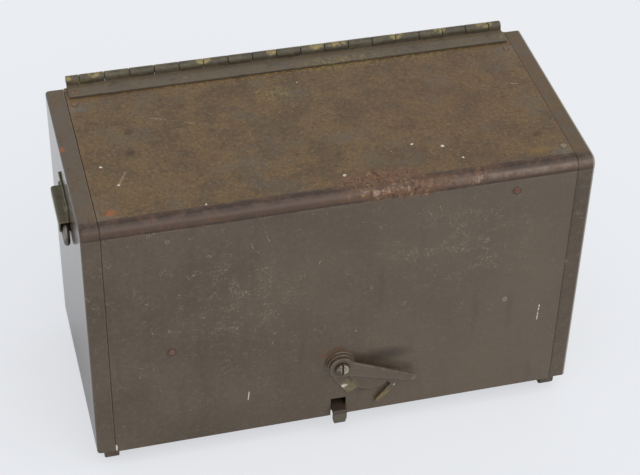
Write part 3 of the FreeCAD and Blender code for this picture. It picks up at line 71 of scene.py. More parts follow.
class Graph:
    """One material. Methods take sockets or plain numbers and return the socket they make."""

    def __init__(self, name):
        self.material = bpy.data.materials.new(name)
        self.material.use_nodes = True
        self.tree = self.material.node_tree
        self.tree.nodes.clear()
        output = self.node("ShaderNodeOutputMaterial")
        self.shader = self.node("ShaderNodeBsdfPrincipled")
        self.tree.links.new(self.shader.outputs[0], output.inputs[0])
        coordinates = self.node("ShaderNodeTexCoord")
        self.place = coordinates.outputs["Object"]
        self.facing = coordinates.outputs["Normal"]

    def node(self, kind, **settings):
        """A new node. A setting with a capital letter goes to the socket of that name."""
        made = self.tree.nodes.new(kind)
        for key, value in settings.items():
            if key[0].isupper():
                self.feed(made.inputs[key.replace("_", " ")], value)
            else:
                setattr(made, key, value)
        return made

    def feed(self, socket, value):
        if isinstance(value, bpy.types.NodeSocket):
            self.tree.links.new(value, socket)
        else:
            socket.default_value = value

    def worked_out(self, kind, operation, values):
        made = self.node(kind, operation=operation)
        for socket, value in zip(made.inputs, values):
            self.feed(socket, value)
        return made.outputs

    def maths(self, operation, *values):
        return self.worked_out("ShaderNodeMath", operation, values)[0]

    def vector(self, operation, *values):
        result = "Value" if operation in ("LENGTH", "DOT_PRODUCT") else "Vector"
        return self.worked_out("ShaderNodeVectorMath", operation, values)[result]

    def scaled(self, vector, factor):
        made = self.node("ShaderNodeVectorMath", operation="SCALE", Scale=factor)
        self.feed(made.inputs[0], vector)
        return made.outputs["Vector"]

    def axis(self, vector, letter):
        return self.node("ShaderNodeSeparateXYZ", Vector=vector).outputs[letter]

    def ramp(self, value, low, high):
        """Smooth share from 0 at low to 1 at high; low may be the larger."""
        first, last = (1.0, 0.0) if low > high else (0.0, 1.0)
        made = self.node("ShaderNodeMapRange", interpolation_type="SMOOTHSTEP", Value=value,
                         From_Min=min(low, high), From_Max=max(low, high), To_Min=first, To_Max=last)
        return made.outputs["Result"]

    def between(self, value, low, high):
        """A share scaled plainly to lie between two numbers."""
        made = self.node("ShaderNodeMapRange", Value=value, To_Min=low, To_Max=high)
        return made.outputs["Result"]

    def texture(self, size, place, detail, rough):
        return self.node("ShaderNodeTexNoise", Vector=place, Scale=1 / (size * MM), Detail=detail,
                         Roughness=rough).outputs

    def noise(self, size, detail=4.0, rough=0.55, stretch=(1, 1, 1), shift=0.0):
        """Noise whose features are about the given size in millimetres."""
        moved = self.node("ShaderNodeMapping", Vector=self.place, Scale=stretch,
                          Location=(shift, shift * 1.7, shift * 0.6))
        return self.texture(size, moved.outputs[0], detail, rough)["Fac"]

    def clouds(self, size, low, high, **settings):
        """Patches of noise: a share from 0 where it is at low to 1 where it is at high."""
        return self.ramp(self.noise(size, **settings), low, high)

    def warped(self, size, reach):
        """Places pushed about by noise, for ragged outlines; both sizes in millimetres."""
        wander = self.texture(size, self.place, 5.0, 0.65)["Color"]
        centred = self.vector("SUBTRACT", wander, (0.5, 0.5, 0.5))
        return self.vector("ADD", self.place, self.scaled(centred, reach * 2 * MM))

    def dots(self, pitch, radius, share, place=None):
        """Scattered spots: one place in each cell of the given pitch, a share of them filled."""
        made = self.node("ShaderNodeTexVoronoi", Vector=place or self.place, Scale=1 / (pitch * MM))
        edge = radius / pitch
        spot = self.ramp(made.outputs["Distance"], edge, edge * 0.55)
        pick = self.node("ShaderNodeSeparateColor", Color=made.outputs["Color"])
        chosen = self.maths("GREATER_THAN", share, pick.outputs[0])
        return self.maths("MULTIPLY", spot, chosen)

    def blob(self, place, centre, radii, soft):
        """1 inside a soft ellipsoid; centre and radii in millimetres."""
        offset = self.vector("SUBTRACT", place, tuple(mm(*centre)))
        distance = self.vector("LENGTH", self.vector("DIVIDE", offset, tuple(mm(*radii))))
        return self.ramp(distance, 1.0, 1.0 - soft)

    def stroke(self, place, start, end, width, soft=0.6):
        """1 along a straight scratch; places and width in millimetres."""
        first = mm(*start)
        along = mm(*end) - first
        offset = self.vector("SUBTRACT", place, tuple(first))
        share = self.vector("DOT_PRODUCT", offset, tuple(along / along.length_squared))
        share = self.maths("MINIMUM", self.maths("MAXIMUM", share, 0.0), 1.0)
        near = self.scaled(tuple(along), share)
        distance = self.vector("LENGTH", self.vector("SUBTRACT", offset, near))
        half = width * MM / 2
        return self.ramp(distance, half, half * (1 - soft))

    def blobs(self, place, soft, *spots):
        """1 inside any of some soft ellipsoids, each given as its centre and radii."""
        return self.most(*(self.blob(place, centre, radii, soft) for centre, radii in spots))

    def mix(self, share, first, second, kind="RGBA"):
        made = self.node("ShaderNodeMix", data_type=kind, Factor=share, A=first, B=second)
        return made.outputs["Result"]

    def blend(self, share, first, second):
        return self.mix(share, first, second, "FLOAT")

    def joined(self, operation, shares):
        total = shares[0]
        for share in shares[1:]:
            total = self.maths(operation, total, share)
        return total

    def most(self, *shares):
        return self.joined("MAXIMUM", shares)

    def times(self, *shares):
        return self.joined("MULTIPLY", shares)

    def soft_normal(self, radius):
        return self.node("ShaderNodeBevel", samples=6, Radius=radius * MM).outputs["Normal"]

    def edges(self, radius, first=0.97, full=0.75):
        """1 on the sharp edges of a shape, out to about the given radius in millimetres."""
        real = self.node("ShaderNodeNewGeometry").outputs["Normal"]
        turn = self.vector("DOT_PRODUCT", self.soft_normal(radius), real)
        return self.ramp(turn, first, full)

    def bump(self, height, depth, base=None):
        """Relief from a height share; depth in millimetres."""
        made = self.node("ShaderNodeBump", Height=height, Distance=depth * MM, Strength=1.0)
        if base is not None:
            self.feed(made.inputs["Normal"], base)
        return made.outputs["Normal"]

    def glancing(self, rough, low):
        """Roughness that falls where a surface is seen along itself, as old paint does."""
        weight = self.node("ShaderNodeLayerWeight").outputs["Facing"]
        return self.blend(self.ramp(weight, 0.78, 0.95), rough, low)

    def curls(self, size, width, shift):
        """Thin curling hairlines, as shallow scratches leave in paint."""
        level = self.noise(size, detail=1.0, shift=shift)
        away = self.maths("ABSOLUTE", self.maths("SUBTRACT", level, 0.5))
        return self.ramp(away, width, width * 0.3)

    def finish(self, colour, rough, normal=None, metal=0.0, **fixed):
        self.feed(self.shader.inputs["Base Color"], colour)
        self.feed(self.shader.inputs["Roughness"], rough)
        self.feed(self.shader.inputs["Metallic"], metal)
        if normal is not None:
            self.feed(self.shader.inputs["Normal"], normal)
        for key, value in fixed.items():
            self.shader.inputs[key.replace("_", " ")].default_value = value
        return self.material


# ---- colours

PAINT_DARK = tone(75, 63, 51)
PAINT = tone(84, 71, 58)
PAINT_PALE = tone(101, 89, 75)
PAINT_LIGHT = tone(126, 113, 96)
PAINT_DEEP = tone(60, 50, 42)
BEND_PAINT = tone(80, 61, 49)
BEND_DARK = tone(52, 38, 30)
# Pale for the painted highlight along the bend.
BEND_HIGHLIGHT = tone(130, 112, 99)
WEATHERED_DARK = tone(70, 55, 38)
WEATHERED = tone(101, 80, 50)
WEATHERED_PALE = tone(127, 105, 72)
RUST_DARK = tone(62, 40, 30)
RUST = tone(104, 70, 50)
RUST_PALE = tone(142, 96, 62)
RUST_PINK = tone(172, 148, 128)
ORANGE = tone(146, 86, 50)
RED_RUST = tone(108, 62, 48)
OCHRE = tone(128, 98, 52)
BLUE_GREY = tone(86, 81, 70)
HALO = tone(98, 97, 90)
# Brown for painted shade: the latch's shadow on the lid and the dark inside the screw's slot.
PAINTED_SHADE = tone(60, 49, 38)
PATCH = tone(107, 79, 60)
CRUMB = tone(170, 136, 86)
SPECK = tone(176, 164, 140)
WHITE_MARK = tone(222, 214, 196)
YELLOW_DUST = tone(138, 124, 74)
LEAF_GREY = tone(89, 82, 71)
BARREL_DARK = tone(62, 56, 44)
BARREL_OLIVE = tone(90, 82, 60)
BRASS = tone(164, 142, 96)
BRASS_DARK = tone(92, 76, 50)
STEEL = tone(146, 140, 132)
STEEL_DARK = tone(86, 80, 74)
RIM_DARK = tone(76, 66, 54)
RIM_PALE = tone(86, 77, 66)
# Pale for the painted highlight on the rims' outer edges.
RIM_HIGHLIGHT = tone(168, 165, 148)
BARREL_BRASS = tone(140, 124, 80)
HINGE_DIRT = tone(48, 42, 32)
SADDLE = tone(80, 74, 50)
SADDLE_DARK = tone(60, 54, 40)
SADDLE_WORN = tone(148, 138, 106)
RIVET_PALE = tone(140, 130, 112)
# Dark for painted shade on the catch.
CATCH_SHADE = tone(52, 42, 34)
CATCH_GREY = tone(92, 88, 76)
LATCH_PAINT = tone(92, 80, 68)
LATCH_WORN = tone(150, 137, 114)
LATCH_BROWN = tone(98, 84, 62)
BLACK = tone(27, 26, 25)
DUSTY = tone(66, 62, 57)
BASE_WORN = tone(132, 120, 88)
HOOK_WORN = tone(138, 118, 74)
LEVER_WORN = tone(132, 122, 104)
SCREW_BRIGHT = tone(190, 181, 162)
SCREW_DARK = tone(84, 76, 64)
TIN = tone(176, 174, 166)
TIN_DARK = tone(126, 122, 112)
PANEL_BROWN = tone(46, 36, 30)
PANEL_DUSTY = tone(92, 80, 68)
TAPE = tone(96, 62, 34)
TAPE_DARK = tone(50, 32, 20)
WIRE_GREEN = tone(44, 78, 52)
WIRE_DARK = tone(20, 36, 26)
WRAP = tone(96, 76, 56)
WRAP_STAIN = tone(60, 46, 36)
CARD = tone(206, 192, 158)
CARD_STAIN = tone(158, 134, 96)


# ---- painted steel

class Paint:
    """Layers of old olive paint, put on one over the other and finished as one material."""

    def __init__(self, name, rust=0.25, specks=0.3, edge_wear=0.5, soften=0.5):
        g = Graph(name)
        self.g = g
        self.soften = soften
        self.ragged = g.warped(5.0, 1.3)
        self.fine_ragged = g.warped(2.0, 0.5)
        broad = g.noise(55.0)
        grain = g.noise(3.2, detail=6.0, rough=0.75)
        salt = g.noise(1.3, rough=0.8, shift=17.0)
        streaks = g.noise(9.0, detail=3.0, stretch=(1, 1, 0.12), shift=2.0)
        dull, clean = g.mix(0.5, PAINT, PAINT_DARK), g.mix(0.35, PAINT, PAINT_PALE)
        body = g.mix(g.ramp(broad, 0.34, 0.66), dull, clean)
        body = g.mix(g.times(g.ramp(streaks, 0.53, 0.7), 0.4), body, PAINT_DARK)
        body = g.mix(g.times(g.ramp(grain, 0.5, 0.68), 0.55), body, PAINT_PALE)
        body = g.mix(g.times(g.ramp(grain, 0.46, 0.3), 0.6), body, PAINT_DARK)
        body = g.mix(g.times(g.ramp(salt, 0.56, 0.7), 0.36), body, PAINT_LIGHT)
        self.colour = g.mix(g.times(g.ramp(salt, 0.42, 0.28), 0.6), body, PAINT_DEEP)
        self.rough = g.between(grain, 0.36, 0.56)
        self.height = g.maths("ADD", g.times(salt, 0.5), g.times(grain, 0.5))
        self.weather()
        scatter = g.clouds(26.0, 0.47, 0.62, detail=2.0, shift=3.0)
        spots = g.dots(7.0, 1.1, rust, self.ragged)
        self.layer((spots, scatter, 0.6), RUST, 0.8, 0.3)
        patchy = g.clouds(19.0, 0.46, 0.64, detail=3.0, shift=12.0)
        pale = g.dots(2.7, 0.36, specks, self.fine_ragged)
        self.layer((pale, patchy, 0.5), SPECK, 0.6, 0.1)
        hair = g.times(g.curls(4.2, 0.014, 21.0), g.clouds(8.0, 0.56, 0.64, shift=23.0))
        flat = g.maths("SUBTRACT", 1.0, g.times(self.top, 0.8))
        upper = g.between(g.ramp(g.axis(self.ragged, "Z"), 0.030, 0.085), 0.35, 1.0)
        self.layer((hair, flat, upper, specks * 0.6), SPECK, 0.6, -0.1)
        worn = g.times(g.edges(0.8), g.clouds(6.0, 0.42, 0.62, shift=9.0), edge_wear)
        self.layer(worn, PAINT_LIGHT, 0.4, -0.4)

    def weather(self):
        """Surfaces that face up are browner, mottled with rust and grey."""
        g = self.g
        up = g.ramp(g.axis(g.facing, "Z"), 0.45, 0.9)
        high = g.ramp(g.axis(g.place, "Z"), 0.150, 0.1565)
        self.top = g.times(up, high)
        patches = g.noise(17.0, detail=6.0, rough=0.7, shift=1.0)
        crumbs = g.noise(1.7, detail=6.0, rough=0.8, shift=2.0)
        brown = g.mix(g.ramp(patches, 0.4, 0.58), g.mix(0.4, WEATHERED_DARK, WEATHERED), WEATHERED)
        brown = g.mix(g.times(g.ramp(crumbs, 0.52, 0.64), 0.6), brown, WEATHERED_PALE)
        brown = g.mix(g.times(g.ramp(crumbs, 0.48, 0.36), 0.9), brown, WEATHERED_DARK)
        flecks = g.noise(2.8, detail=6.0, rough=0.8, shift=55.0)
        brown = g.mix(g.times(g.ramp(flecks, 0.54, 0.62), 0.45), brown, RUST)
        brown = g.mix(g.times(g.ramp(flecks, 0.46, 0.38), 0.35), brown, RUST_DARK)
        self.layer((self.top, 0.95), brown, 0.6)
        self.height = g.maths("ADD", self.height, g.times(self.top, crumbs, 1.2))
        bloom = g.clouds(5.0, 0.54, 0.64, detail=7.0, rough=0.8, shift=5.0)
        self.layer((self.top, bloom, 0.5), RUST, 0.85, 0.25)
        ochre = g.clouds(4.0, 0.56, 0.66, detail=6.0, rough=0.8, shift=25.0)
        self.layer((self.top, ochre, 0.28), OCHRE, 0.75, 0.1)
        grey = g.clouds(24.0, 0.5, 0.64, detail=7.0, rough=0.75, shift=7.0)
        self.layer((self.top, grey, 0.42), BLUE_GREY, 0.5)

    def layer(self, share, colour, rough=None, lift=0.0):
        """Lays a colour on by a share, or by several multiplied, with its gloss and thickness."""
        g = self.g
        if isinstance(share, tuple):
            share = g.times(*share)
        self.colour = g.mix(share, self.colour, colour)
        if rough is not None:
            self.rough = g.blend(share, self.rough, rough)
        if lift:
            self.height = g.maths("ADD", self.height, g.times(share, lift))

    def finish(self, metal=0.0):
        g = self.g
        normal = g.bump(self.height, 0.1, g.soft_normal(self.soften))
        return g.finish(self.colour, g.glancing(self.rough, 0.18), normal, metal, Specular_IOR_Level=0.15,
                        Coat_Weight=0.3, Coat_Roughness=0.08)


# ---- the lid's own marks

FRONT_Y = -57.5
TOP_Z = 159.5
SCREW_SLOT = (-64.0, -63.6)

FRONT_RUST = (
    (-78, 128, 10), (-62, 118, 14), (-48, 104, 12), (-80, 96, 9), (-66, 84, 8),
    (-30, 112, 8), (-88, 108, 8), (-54, 132, 9), (-24, 132, 6), (40, 124, 7),
)
RUSTY_RIVETS = ((86.6, FRONT_Y, 146.5), (-86.6, FRONT_Y, 75.0))
TICK = ((-48.2, FRONT_Y, 33.0), (-47.6, FRONT_Y, 38.4))
FRONT_SCRATCHES = (
    ((-46.8, 139.0), (-44.6, 133.4), 0.4),
    ((-44.6, 133.4), (-39.8, 129.2), 0.4),
    ((-42.8, 147.5), (-38.6, 143.0), 0.35),
    ((-38.6, 143.0), (-37.2, 137.2), 0.35),
    ((-35.6, 69.5), (-33.6, 73.6), 0.45),
    ((-12.6, 118.5), (-11.4, 120.2), 0.6),
)
FRONT_STREAKS = ((71, 70, 26), (90, 65, 20), (104, 22, 12), (20, 96, 24), (-20, 60, 22))
TOP_WHITE = (
    (-109.7, -10.8, 0.9), (-103.6, -26.4, 0.9), (2.9, -43.1, 1.3), (41.5, -26.9, 0.8),
    (55.9, -31.4, 1.0), (63.2, -42.4, 0.7), (-66.0, -49.5, 0.6), (-1.2, 36.4, 0.5),
)
TOP_DARK = ((-92.3, 13.4, 4.5), (-94.8, -2.6, 4.0), (105.0, -32.3, 4.0), (-62.0, 30.0, 3.0))
CORNER_RIVETS = ((-113.9, 42.0), (113.9, 42.0), (-113.9, -44.5), (113.9, -44.5))


def lid_paint():
    paint = Paint("lid_paint", rust=0.3, specks=0.6)
    g = paint.g
    place = paint.ragged
    wide = g.warped(14.0, 4.0)
    # Painted light: the lid's front is painted paler towards the right, where more light falls on it.
    front = g.ramp(g.axis(g.facing, "Y"), -0.6, -0.9)
    lighter_towards_right = g.ramp(g.axis(wide, "X"), -0.13, 0.13)
    paint.layer((front, lighter_towards_right, 0.55), PAINT_PALE)
    cells = g.dots(4.2, 0.95, 0.5, place)
    near = [g.blob(wide, (x, FRONT_Y, z), (size, 6, size), 0.8) for x, z, size in FRONT_RUST]
    paint.layer((g.most(*near), cells, 0.5), RUST, 0.75, 0.25)
    marks = [
        g.stroke(place, (start[0], FRONT_Y, start[1]), (end[0], FRONT_Y, end[1]), width)
        for start, end, width in FRONT_SCRATCHES
    ]
    paint.layer((g.most(*marks), 0.5), SPECK, 0.6, -0.3)
    shades = [g.blob(wide, (x, FRONT_Y, z), (3, 6, height), 0.9) for x, z, height in FRONT_STREAKS]
    paint.layer((g.most(*shades), 0.3), PAINT_DARK)
    # Painted shadow: dark soft patches above and below the latch lever, where its shade falls on the lid.
    painted_shadow = g.blobs(
        g.place, 0.9, ((23, FRONT_Y, 49.5), (21, 6, 7)), ((15, FRONT_Y, 29), (9, 6, 5)))
    paint.layer((painted_shadow, 0.85), PAINTED_SHADE, 0.6)
    scuffed = g.most(
        g.blobs(wide, 1.0, ((62, FRONT_Y, 118), (62, 8, 40)), ((-52, FRONT_Y, 104), (48, 8, 46))),
        g.times(g.blob(wide, (10, FRONT_Y, 66), (110, 8, 46), 1.0), 0.25))
    clumps = g.clouds(9.0, 0.48, 0.62, detail=5.0, rough=0.75, shift=47.0)
    flecks = g.clouds(1.5, 0.54, 0.62, rough=0.8, shift=49.0)
    threads = g.curls(2.6, 0.02, 51.0)
    paint.layer((scuffed, clumps, g.most(flecks, threads), 0.42), SPECK, 0.6, 0.1)
    rings = [g.blob(place, spot, (3.6, 4, 3.6), 0.7) for spot in RUSTY_RIVETS]
    paint.layer((g.most(*rings), 0.7), RUST_DARK, 0.8, 0.1)
    sore = g.blob(wide, (-5, FRONT_Y, 57), (10, 6, 6), 0.8)
    paint.layer((sore, g.clouds(3.0, 0.45, 0.6, detail=5.0), 0.8), RUST, 0.8, 0.2)
    white = g.stroke(g.place, *TICK, 0.62)
    broken = g.clouds(1.6, 0.46, 0.54, shift=4.0)
    dotted = g.times(g.stroke(g.place, (106.0, FRONT_Y, 57.0), (106.6, FRONT_Y, 69.5), 0.9), broken)
    chip = g.blob(place, (-117.1, FRONT_Y, 14.0), (0.8, 3, 2.4), 0.3)
    paint.layer((g.most(white, dotted, chip), 0.85), WHITE_MARK, 0.6, -0.3)
    top_marks(paint, place, wide)
    rubbed_bend_and_highlight(paint, 0.0, 1.0)
    rust_patch(paint)
    return paint.finish()


def top_marks(paint, place, wide):
    g = paint.g
    torn = g.clouds(5.0, 0.4, 0.6, detail=6.0, rough=0.8, shift=27.0)
    halo = [g.blob(wide, (x, y - 3, TOP_Z), (9, 7, 5), 0.8) for x, y in CORNER_RIVETS]
    paint.layer((g.most(*halo), torn, 0.6), HALO, 0.5)
    centre = [g.blob(place, (x, y, TOP_Z), (3.0, 3.0, 4), 0.5) for x, y in CORNER_RIVETS]
    paint.layer((g.most(*centre), 0.7), RUST, 0.8)
    band = g.blob(wide, (102, -44.5, TOP_Z), (9, 3.5, 4), 0.8)
    paint.layer((band, 0.5), OCHRE, 0.8, 0.1)
    cold = g.most(
        g.blobs(wide, 0.9, ((-46, -26, TOP_Z), (19, 6, 5)), ((-104, 40, TOP_Z), (13, 5, 5))),
        g.blobs(wide, 1.0, ((-4, 28, TOP_Z), (15, 14, 5)), ((14, -14, TOP_Z), (24, 9, 5)),
                ((34, -40, TOP_Z), (14, 6, 5))))
    paint.layer((cold, torn, 0.6), BLUE_GREY, 0.5)
    dark = [g.blob(wide, (x, y, TOP_Z), (size, size * 0.7, 4), 0.8) for x, y, size in TOP_DARK]
    paint.layer((g.most(*dark), g.between(torn, 0.5, 1.0), 0.85), RUST_DARK, 0.7, 0.2)
    warm = g.times(paint.top, g.blob(wide, (72, 0, TOP_Z), (66, 66, 8), 1.0))
    rusty = g.clouds(3.0, 0.49, 0.6, detail=7.0, rough=0.85, shift=13.0)
    paint.layer((warm, rusty, 0.65), RUST, 0.8, 0.2)
    scratch = g.stroke(place, (-85.5, 25.3, TOP_Z), (-48.3, 9.2, TOP_Z), 0.9)
    drip = g.stroke(place, (-103.6, -26.4, TOP_Z), (-98.9, -17.6, TOP_Z), 2.4, 1.0)
    crease = g.stroke(wide, (96, 14, TOP_Z), (111, 10, TOP_Z), 0.9)
    broken = g.clouds(4.0, 0.45, 0.6, shift=45.0)
    faint = g.times(g.most(g.times(scratch, 0.3), g.times(crease, 0.7)), broken)
    paint.layer(g.most(faint, g.times(drip, 0.25)), SPECK, 0.6)
    powder = g.clouds(1.8, 0.5, 0.58, detail=5.0, rough=0.85, shift=6.0)
    yellow = g.most(
        g.blobs(wide, 0.9, ((26, 47, TOP_Z), (36, 7, 5)), ((72, 46, TOP_Z), (30, 4, 5))),
        g.blob(wide, (-14, 30, TOP_Z), (16, 14, 5), 1.0))
    paint.layer((yellow, powder, 0.75), YELLOW_DUST, 0.8, 0.3)
    line = g.blob(place, (-10, 46.4, TOP_Z), (112, 2.6, 4), 0.8)
    crumbs = g.clouds(1.3, 0.54, 0.6, detail=3.0, rough=0.8, shift=8.0)
    paint.layer((line, crumbs, 0.7), CRUMB, 0.85, 0.5)
    sides = g.ramp(g.maths("ABSOLUTE", g.axis(place, "X")), 0.1155, 0.1168)
    paint.layer((sides, paint.top, g.ramp(crumbs, 0.3, 0.7), 0.6), RUST_PALE, 0.8, 0.2)
    corner = g.blob(wide, (-110, -46, TOP_Z), (5, 3, 4), 0.7)
    paint.layer((corner, 0.8), ORANGE, 0.8, 0.2)
    white = [g.blob(place, (x, y, TOP_Z), (size, size, 3), 0.4) for x, y, size in TOP_WHITE]
    paint.layer((g.most(*white), 0.8), WHITE_MARK, 0.6, 0.2)


def rubbed_bend_and_highlight(paint, drop, strength):
    """A rubbed, glossier bend between two dark lines, with a painted highlight along its middle that grows
    towards the right and a faint painted highlight line under it; the rims' bends sit a little lower.
    """
    g = paint.g
    wander = g.warped(30.0, 0.8)
    height = g.maths("ADD", g.axis(wander, "Z"), drop)
    back = g.ramp(g.maths("SUBTRACT", g.axis(wander, "Y"), drop), -0.0500, -0.0515)
    bend = g.times(g.ramp(height, 0.1528, 0.1538), back, strength)
    cloud = g.noise(6.0, detail=6.0, rough=0.75, shift=2.5)
    dark = g.mix(0.5, BEND_PAINT, BEND_DARK)
    paint.layer((bend, 0.9), g.mix(g.ramp(cloud, 0.38, 0.62), BEND_PAINT, dark), 0.34)
    # Painted highlight along the middle of the bend, stronger towards the right.
    shine = g.times(bend, g.ramp(height, 0.1545, 0.1565), g.ramp(height, 0.1592, 0.1575))
    right = g.between(g.ramp(g.axis(wander, "X"), -0.04, 0.11), 0.12, 1.0)
    paint.layer((shine, right, g.ramp(cloud, 0.3, 0.6), 0.8), BEND_HIGHLIGHT, 0.28)
    upper = g.times(g.ramp(height, 0.1575, 0.1590), back, strength)
    paint.layer((upper, g.ramp(cloud, 0.34, 0.56), 0.8), BEND_DARK, 0.5)
    lower = g.times(bend, g.ramp(height, 0.1549, 0.1538))
    paint.layer((lower, g.between(cloud, 0.4, 0.9)), BEND_DARK, 0.5)
    # Painted highlight: a faint pale line just under the bend.
    under = g.times(g.ramp(height, 0.1522, 0.1527), g.ramp(height, 0.1536, 0.1529), strength)
    paint.layer((under, g.clouds(9.0, 0.45, 0.6, shift=14.0), 0.2), PAINT_LIGHT, 0.45)
    mottle = g.times(bend, g.clouds(4.0, 0.53, 0.62, detail=6.0, rough=0.8, shift=2.5))
    paint.layer((mottle, 0.5), RUST, 0.8, 0.2)


def rust_patch(paint):
    """Flaking rust over the bend, right of the middle."""
    g = paint.g
    wide = g.warped(9.0, 5.0)
    patch = g.most(
        g.blob(wide, (29, -54, 156.5), (39, 8, 6), 0.5),
        g.blob(wide, (18, -48.5, 159), (30, 8, 6), 0.6),
        g.blob(wide, (68, -53, 157), (18, 6, 5), 0.8))
    flakes = g.noise(4.0, detail=8.0, rough=0.8, shift=3.3)
    other = g.noise(3.0, detail=7.0, rough=0.8, shift=19.0)
    paint.layer((patch, g.ramp(flakes, 0.38, 0.5), 0.85), PATCH, 0.85, 0.6)
    paint.layer((patch, g.ramp(flakes, 0.52, 0.57), 0.85), RUST_DARK, 0.8, 0.4)
    paint.layer((patch, g.ramp(other, 0.55, 0.62), 0.7), RUST_PALE, 0.85, 0.3)
    paint.layer((patch, g.ramp(other, 0.4, 0.34), 0.6), ORANGE, 0.85, 0.2)
    ripe = g.clouds(2.4, 0.58, 0.63, detail=5.0, rough=0.8, shift=61.0)
    paint.layer((patch, ripe, 0.6), CRUMB, 0.85, 0.4)
    core = g.most(
        g.blob(wide, (19, -54, 156), (22, 7, 5.5), 0.7),
        g.blob(wide, (66, -56, 155), (9, 5, 4), 0.8))
    bare = g.times(core, g.clouds(3.5, 0.53, 0.58, detail=7.0, rough=0.8, shift=11.0))
    paint.layer((bare, 0.7), RUST_PINK, 0.8, -0.3)


# ---- other finishes

def end_paint():
    paint = Paint("end_paint", rust=0.3, specks=0.6, edge_wear=0.8, soften=1.5)
    g = paint.g
    rim = g.ramp(g.axis(g.place, "Z"), 0.149, 0.158)
    dull = g.clouds(9.0, 0.3, 0.55, detail=5.0, rough=0.7, shift=6.1)
    paint.layer((rim, dull, 0.85), g.mix(dull, RIM_DARK, RIM_PALE), 0.5)
    sore = g.noise(4.0, detail=7.0, rough=0.8, shift=16.0)
    front_corner = g.blob(paint.ragged, (-122, -52, 156), (10, 14, 8), 0.8)
    where = g.most(g.times(rim, 0.6), front_corner)
    paint.layer((where, g.ramp(sore, 0.52, 0.6), 0.6), RUST, 0.8, 0.3)
    paint.layer((where, g.ramp(sore, 0.6, 0.66), 0.7), ORANGE, 0.8, 0.3)
    paint.layer((front_corner, g.ramp(sore, 0.5, 0.4), 0.5), BEND_DARK, 0.6)
    bright = g.blob(g.warped(3.0, 1.2), (-126, 8, TOP_Z), (2.2, 3, 4), 0.6)
    paint.layer((bright, 0.8), ORANGE, 0.8, 0.3)
    # Painted highlight: a pale line along the left rim's inner edge, where the lid's sheet edge catches the
    # light.
    inner = g.ramp(g.axis(paint.fine_ragged, "X"), -0.1186, -0.1180)
    left = g.ramp(g.axis(g.place, "X"), 0.01, -0.01)
    paint.layer((inner, left, 0.5), PAINT_LIGHT, 0.5)
    browner = g.times(rim, g.ramp(g.axis(g.place, "X"), -0.01, 0.01), g.ramp(sore, 0.35, 0.55))
    paint.layer((browner, 0.55), g.mix(0.5, WEATHERED, WEATHERED_DARK), 0.6)
    rubbed_bend_and_highlight(paint, 0.0006, 0.8)
    # Painted highlight: a pale line along the rounded outer edges of the rims.
    rounding = g.axis(g.facing, "X")
    outer = g.times(g.ramp(rounding, 0.12, 0.4), g.ramp(rounding, 0.98, 0.9))
    paint.layer((outer, 0.55), RIM_HIGHLIGHT, 0.3)
    side = g.ramp(g.maths("ABSOLUTE", g.axis(g.facing, "X")), 0.6, 0.95)
    paint.height = g.times(paint.height, g.between(side, 1.0, 0.1))
    return paint.finish()


BARREL_WORN = ((-116, 5), (-101.5, 4), (-9, 3.5), (15, 5), (26, 7), (58, 6), (107, 6), (-45, 5), (82, 4))


def hinge_paint():
    """Paint rubbed off the barrel, so that the brass shows along the knuckles."""
    paint = Paint("hinge_paint", rust=0.2, specks=0.4, edge_wear=0.6)
    g = paint.g
    barrel = g.ramp(g.axis(g.place, "Z"), 0.1606, 0.1622)
    paint.layer(0.6, LEAF_GREY, 0.5)
    olive = g.clouds(7.0, 0.4, 0.62, detail=5.0, rough=0.75, shift=31.0)
    paint.layer((barrel, 0.75), g.mix(olive, BARREL_DARK, BARREL_OLIVE), 0.5)
    worn = g.clouds(9.0, 0.55, 0.66, rough=0.6, stretch=(0.35, 1.6, 1.6), shift=1.4)
    patches = [g.blob(paint.ragged, (x, 60, 164), (reach, 3, 2.6), 0.4) for x, reach in BARREL_WORN]
    torn = g.clouds(2.5, 0.36, 0.5, shift=33.0)
    share = g.times(barrel, g.most(g.times(worn, 0.4), g.times(g.most(*patches), torn)))
    paint.layer((share, 0.8), BARREL_BRASS, 0.45, -0.3)
    dirt = g.clouds(5.0, 0.55, 0.7, shift=4.4)
    paint.layer((dirt, 0.4), HINGE_DIRT, 0.7)
    leaf = g.blob(paint.ragged, (26, 49, 161), (40, 6, 4), 0.9)
    dust = g.clouds(2.0, 0.5, 0.6, detail=5.0, rough=0.8, shift=35.0)
    paint.layer((leaf, dust, 0.6), YELLOW_DUST, 0.8, 0.2)
    end = g.blob(paint.ragged, (-113, 51, 161), (4, 3, 3), 0.6)
    paint.layer((end, 0.6), RUST, 0.8, 0.2)
    return paint.finish(g.times(share, 0.35))


def bracket_paint():
    """Olive paint worn to brass along the edges."""
    paint = Paint("bracket_paint", rust=0.2, specks=0.3, edge_wear=0.0)
    g = paint.g
    paint.layer(0.75, SADDLE, 0.45)
    cloud = g.noise(5.0, detail=5.0, rough=0.7, shift=37.0)
    paint.layer((g.ramp(cloud, 0.5, 0.62), 0.5), SADDLE_DARK, 0.6)
    rubbed = g.times(g.edges(0.8, 0.99, 0.9), g.clouds(3.0, 0.32, 0.5, shift=39.0))
    paint.layer((rubbed, 0.85), SADDLE_WORN, 0.4, -0.2)
    return paint.finish(g.times(rubbed, 0.3))


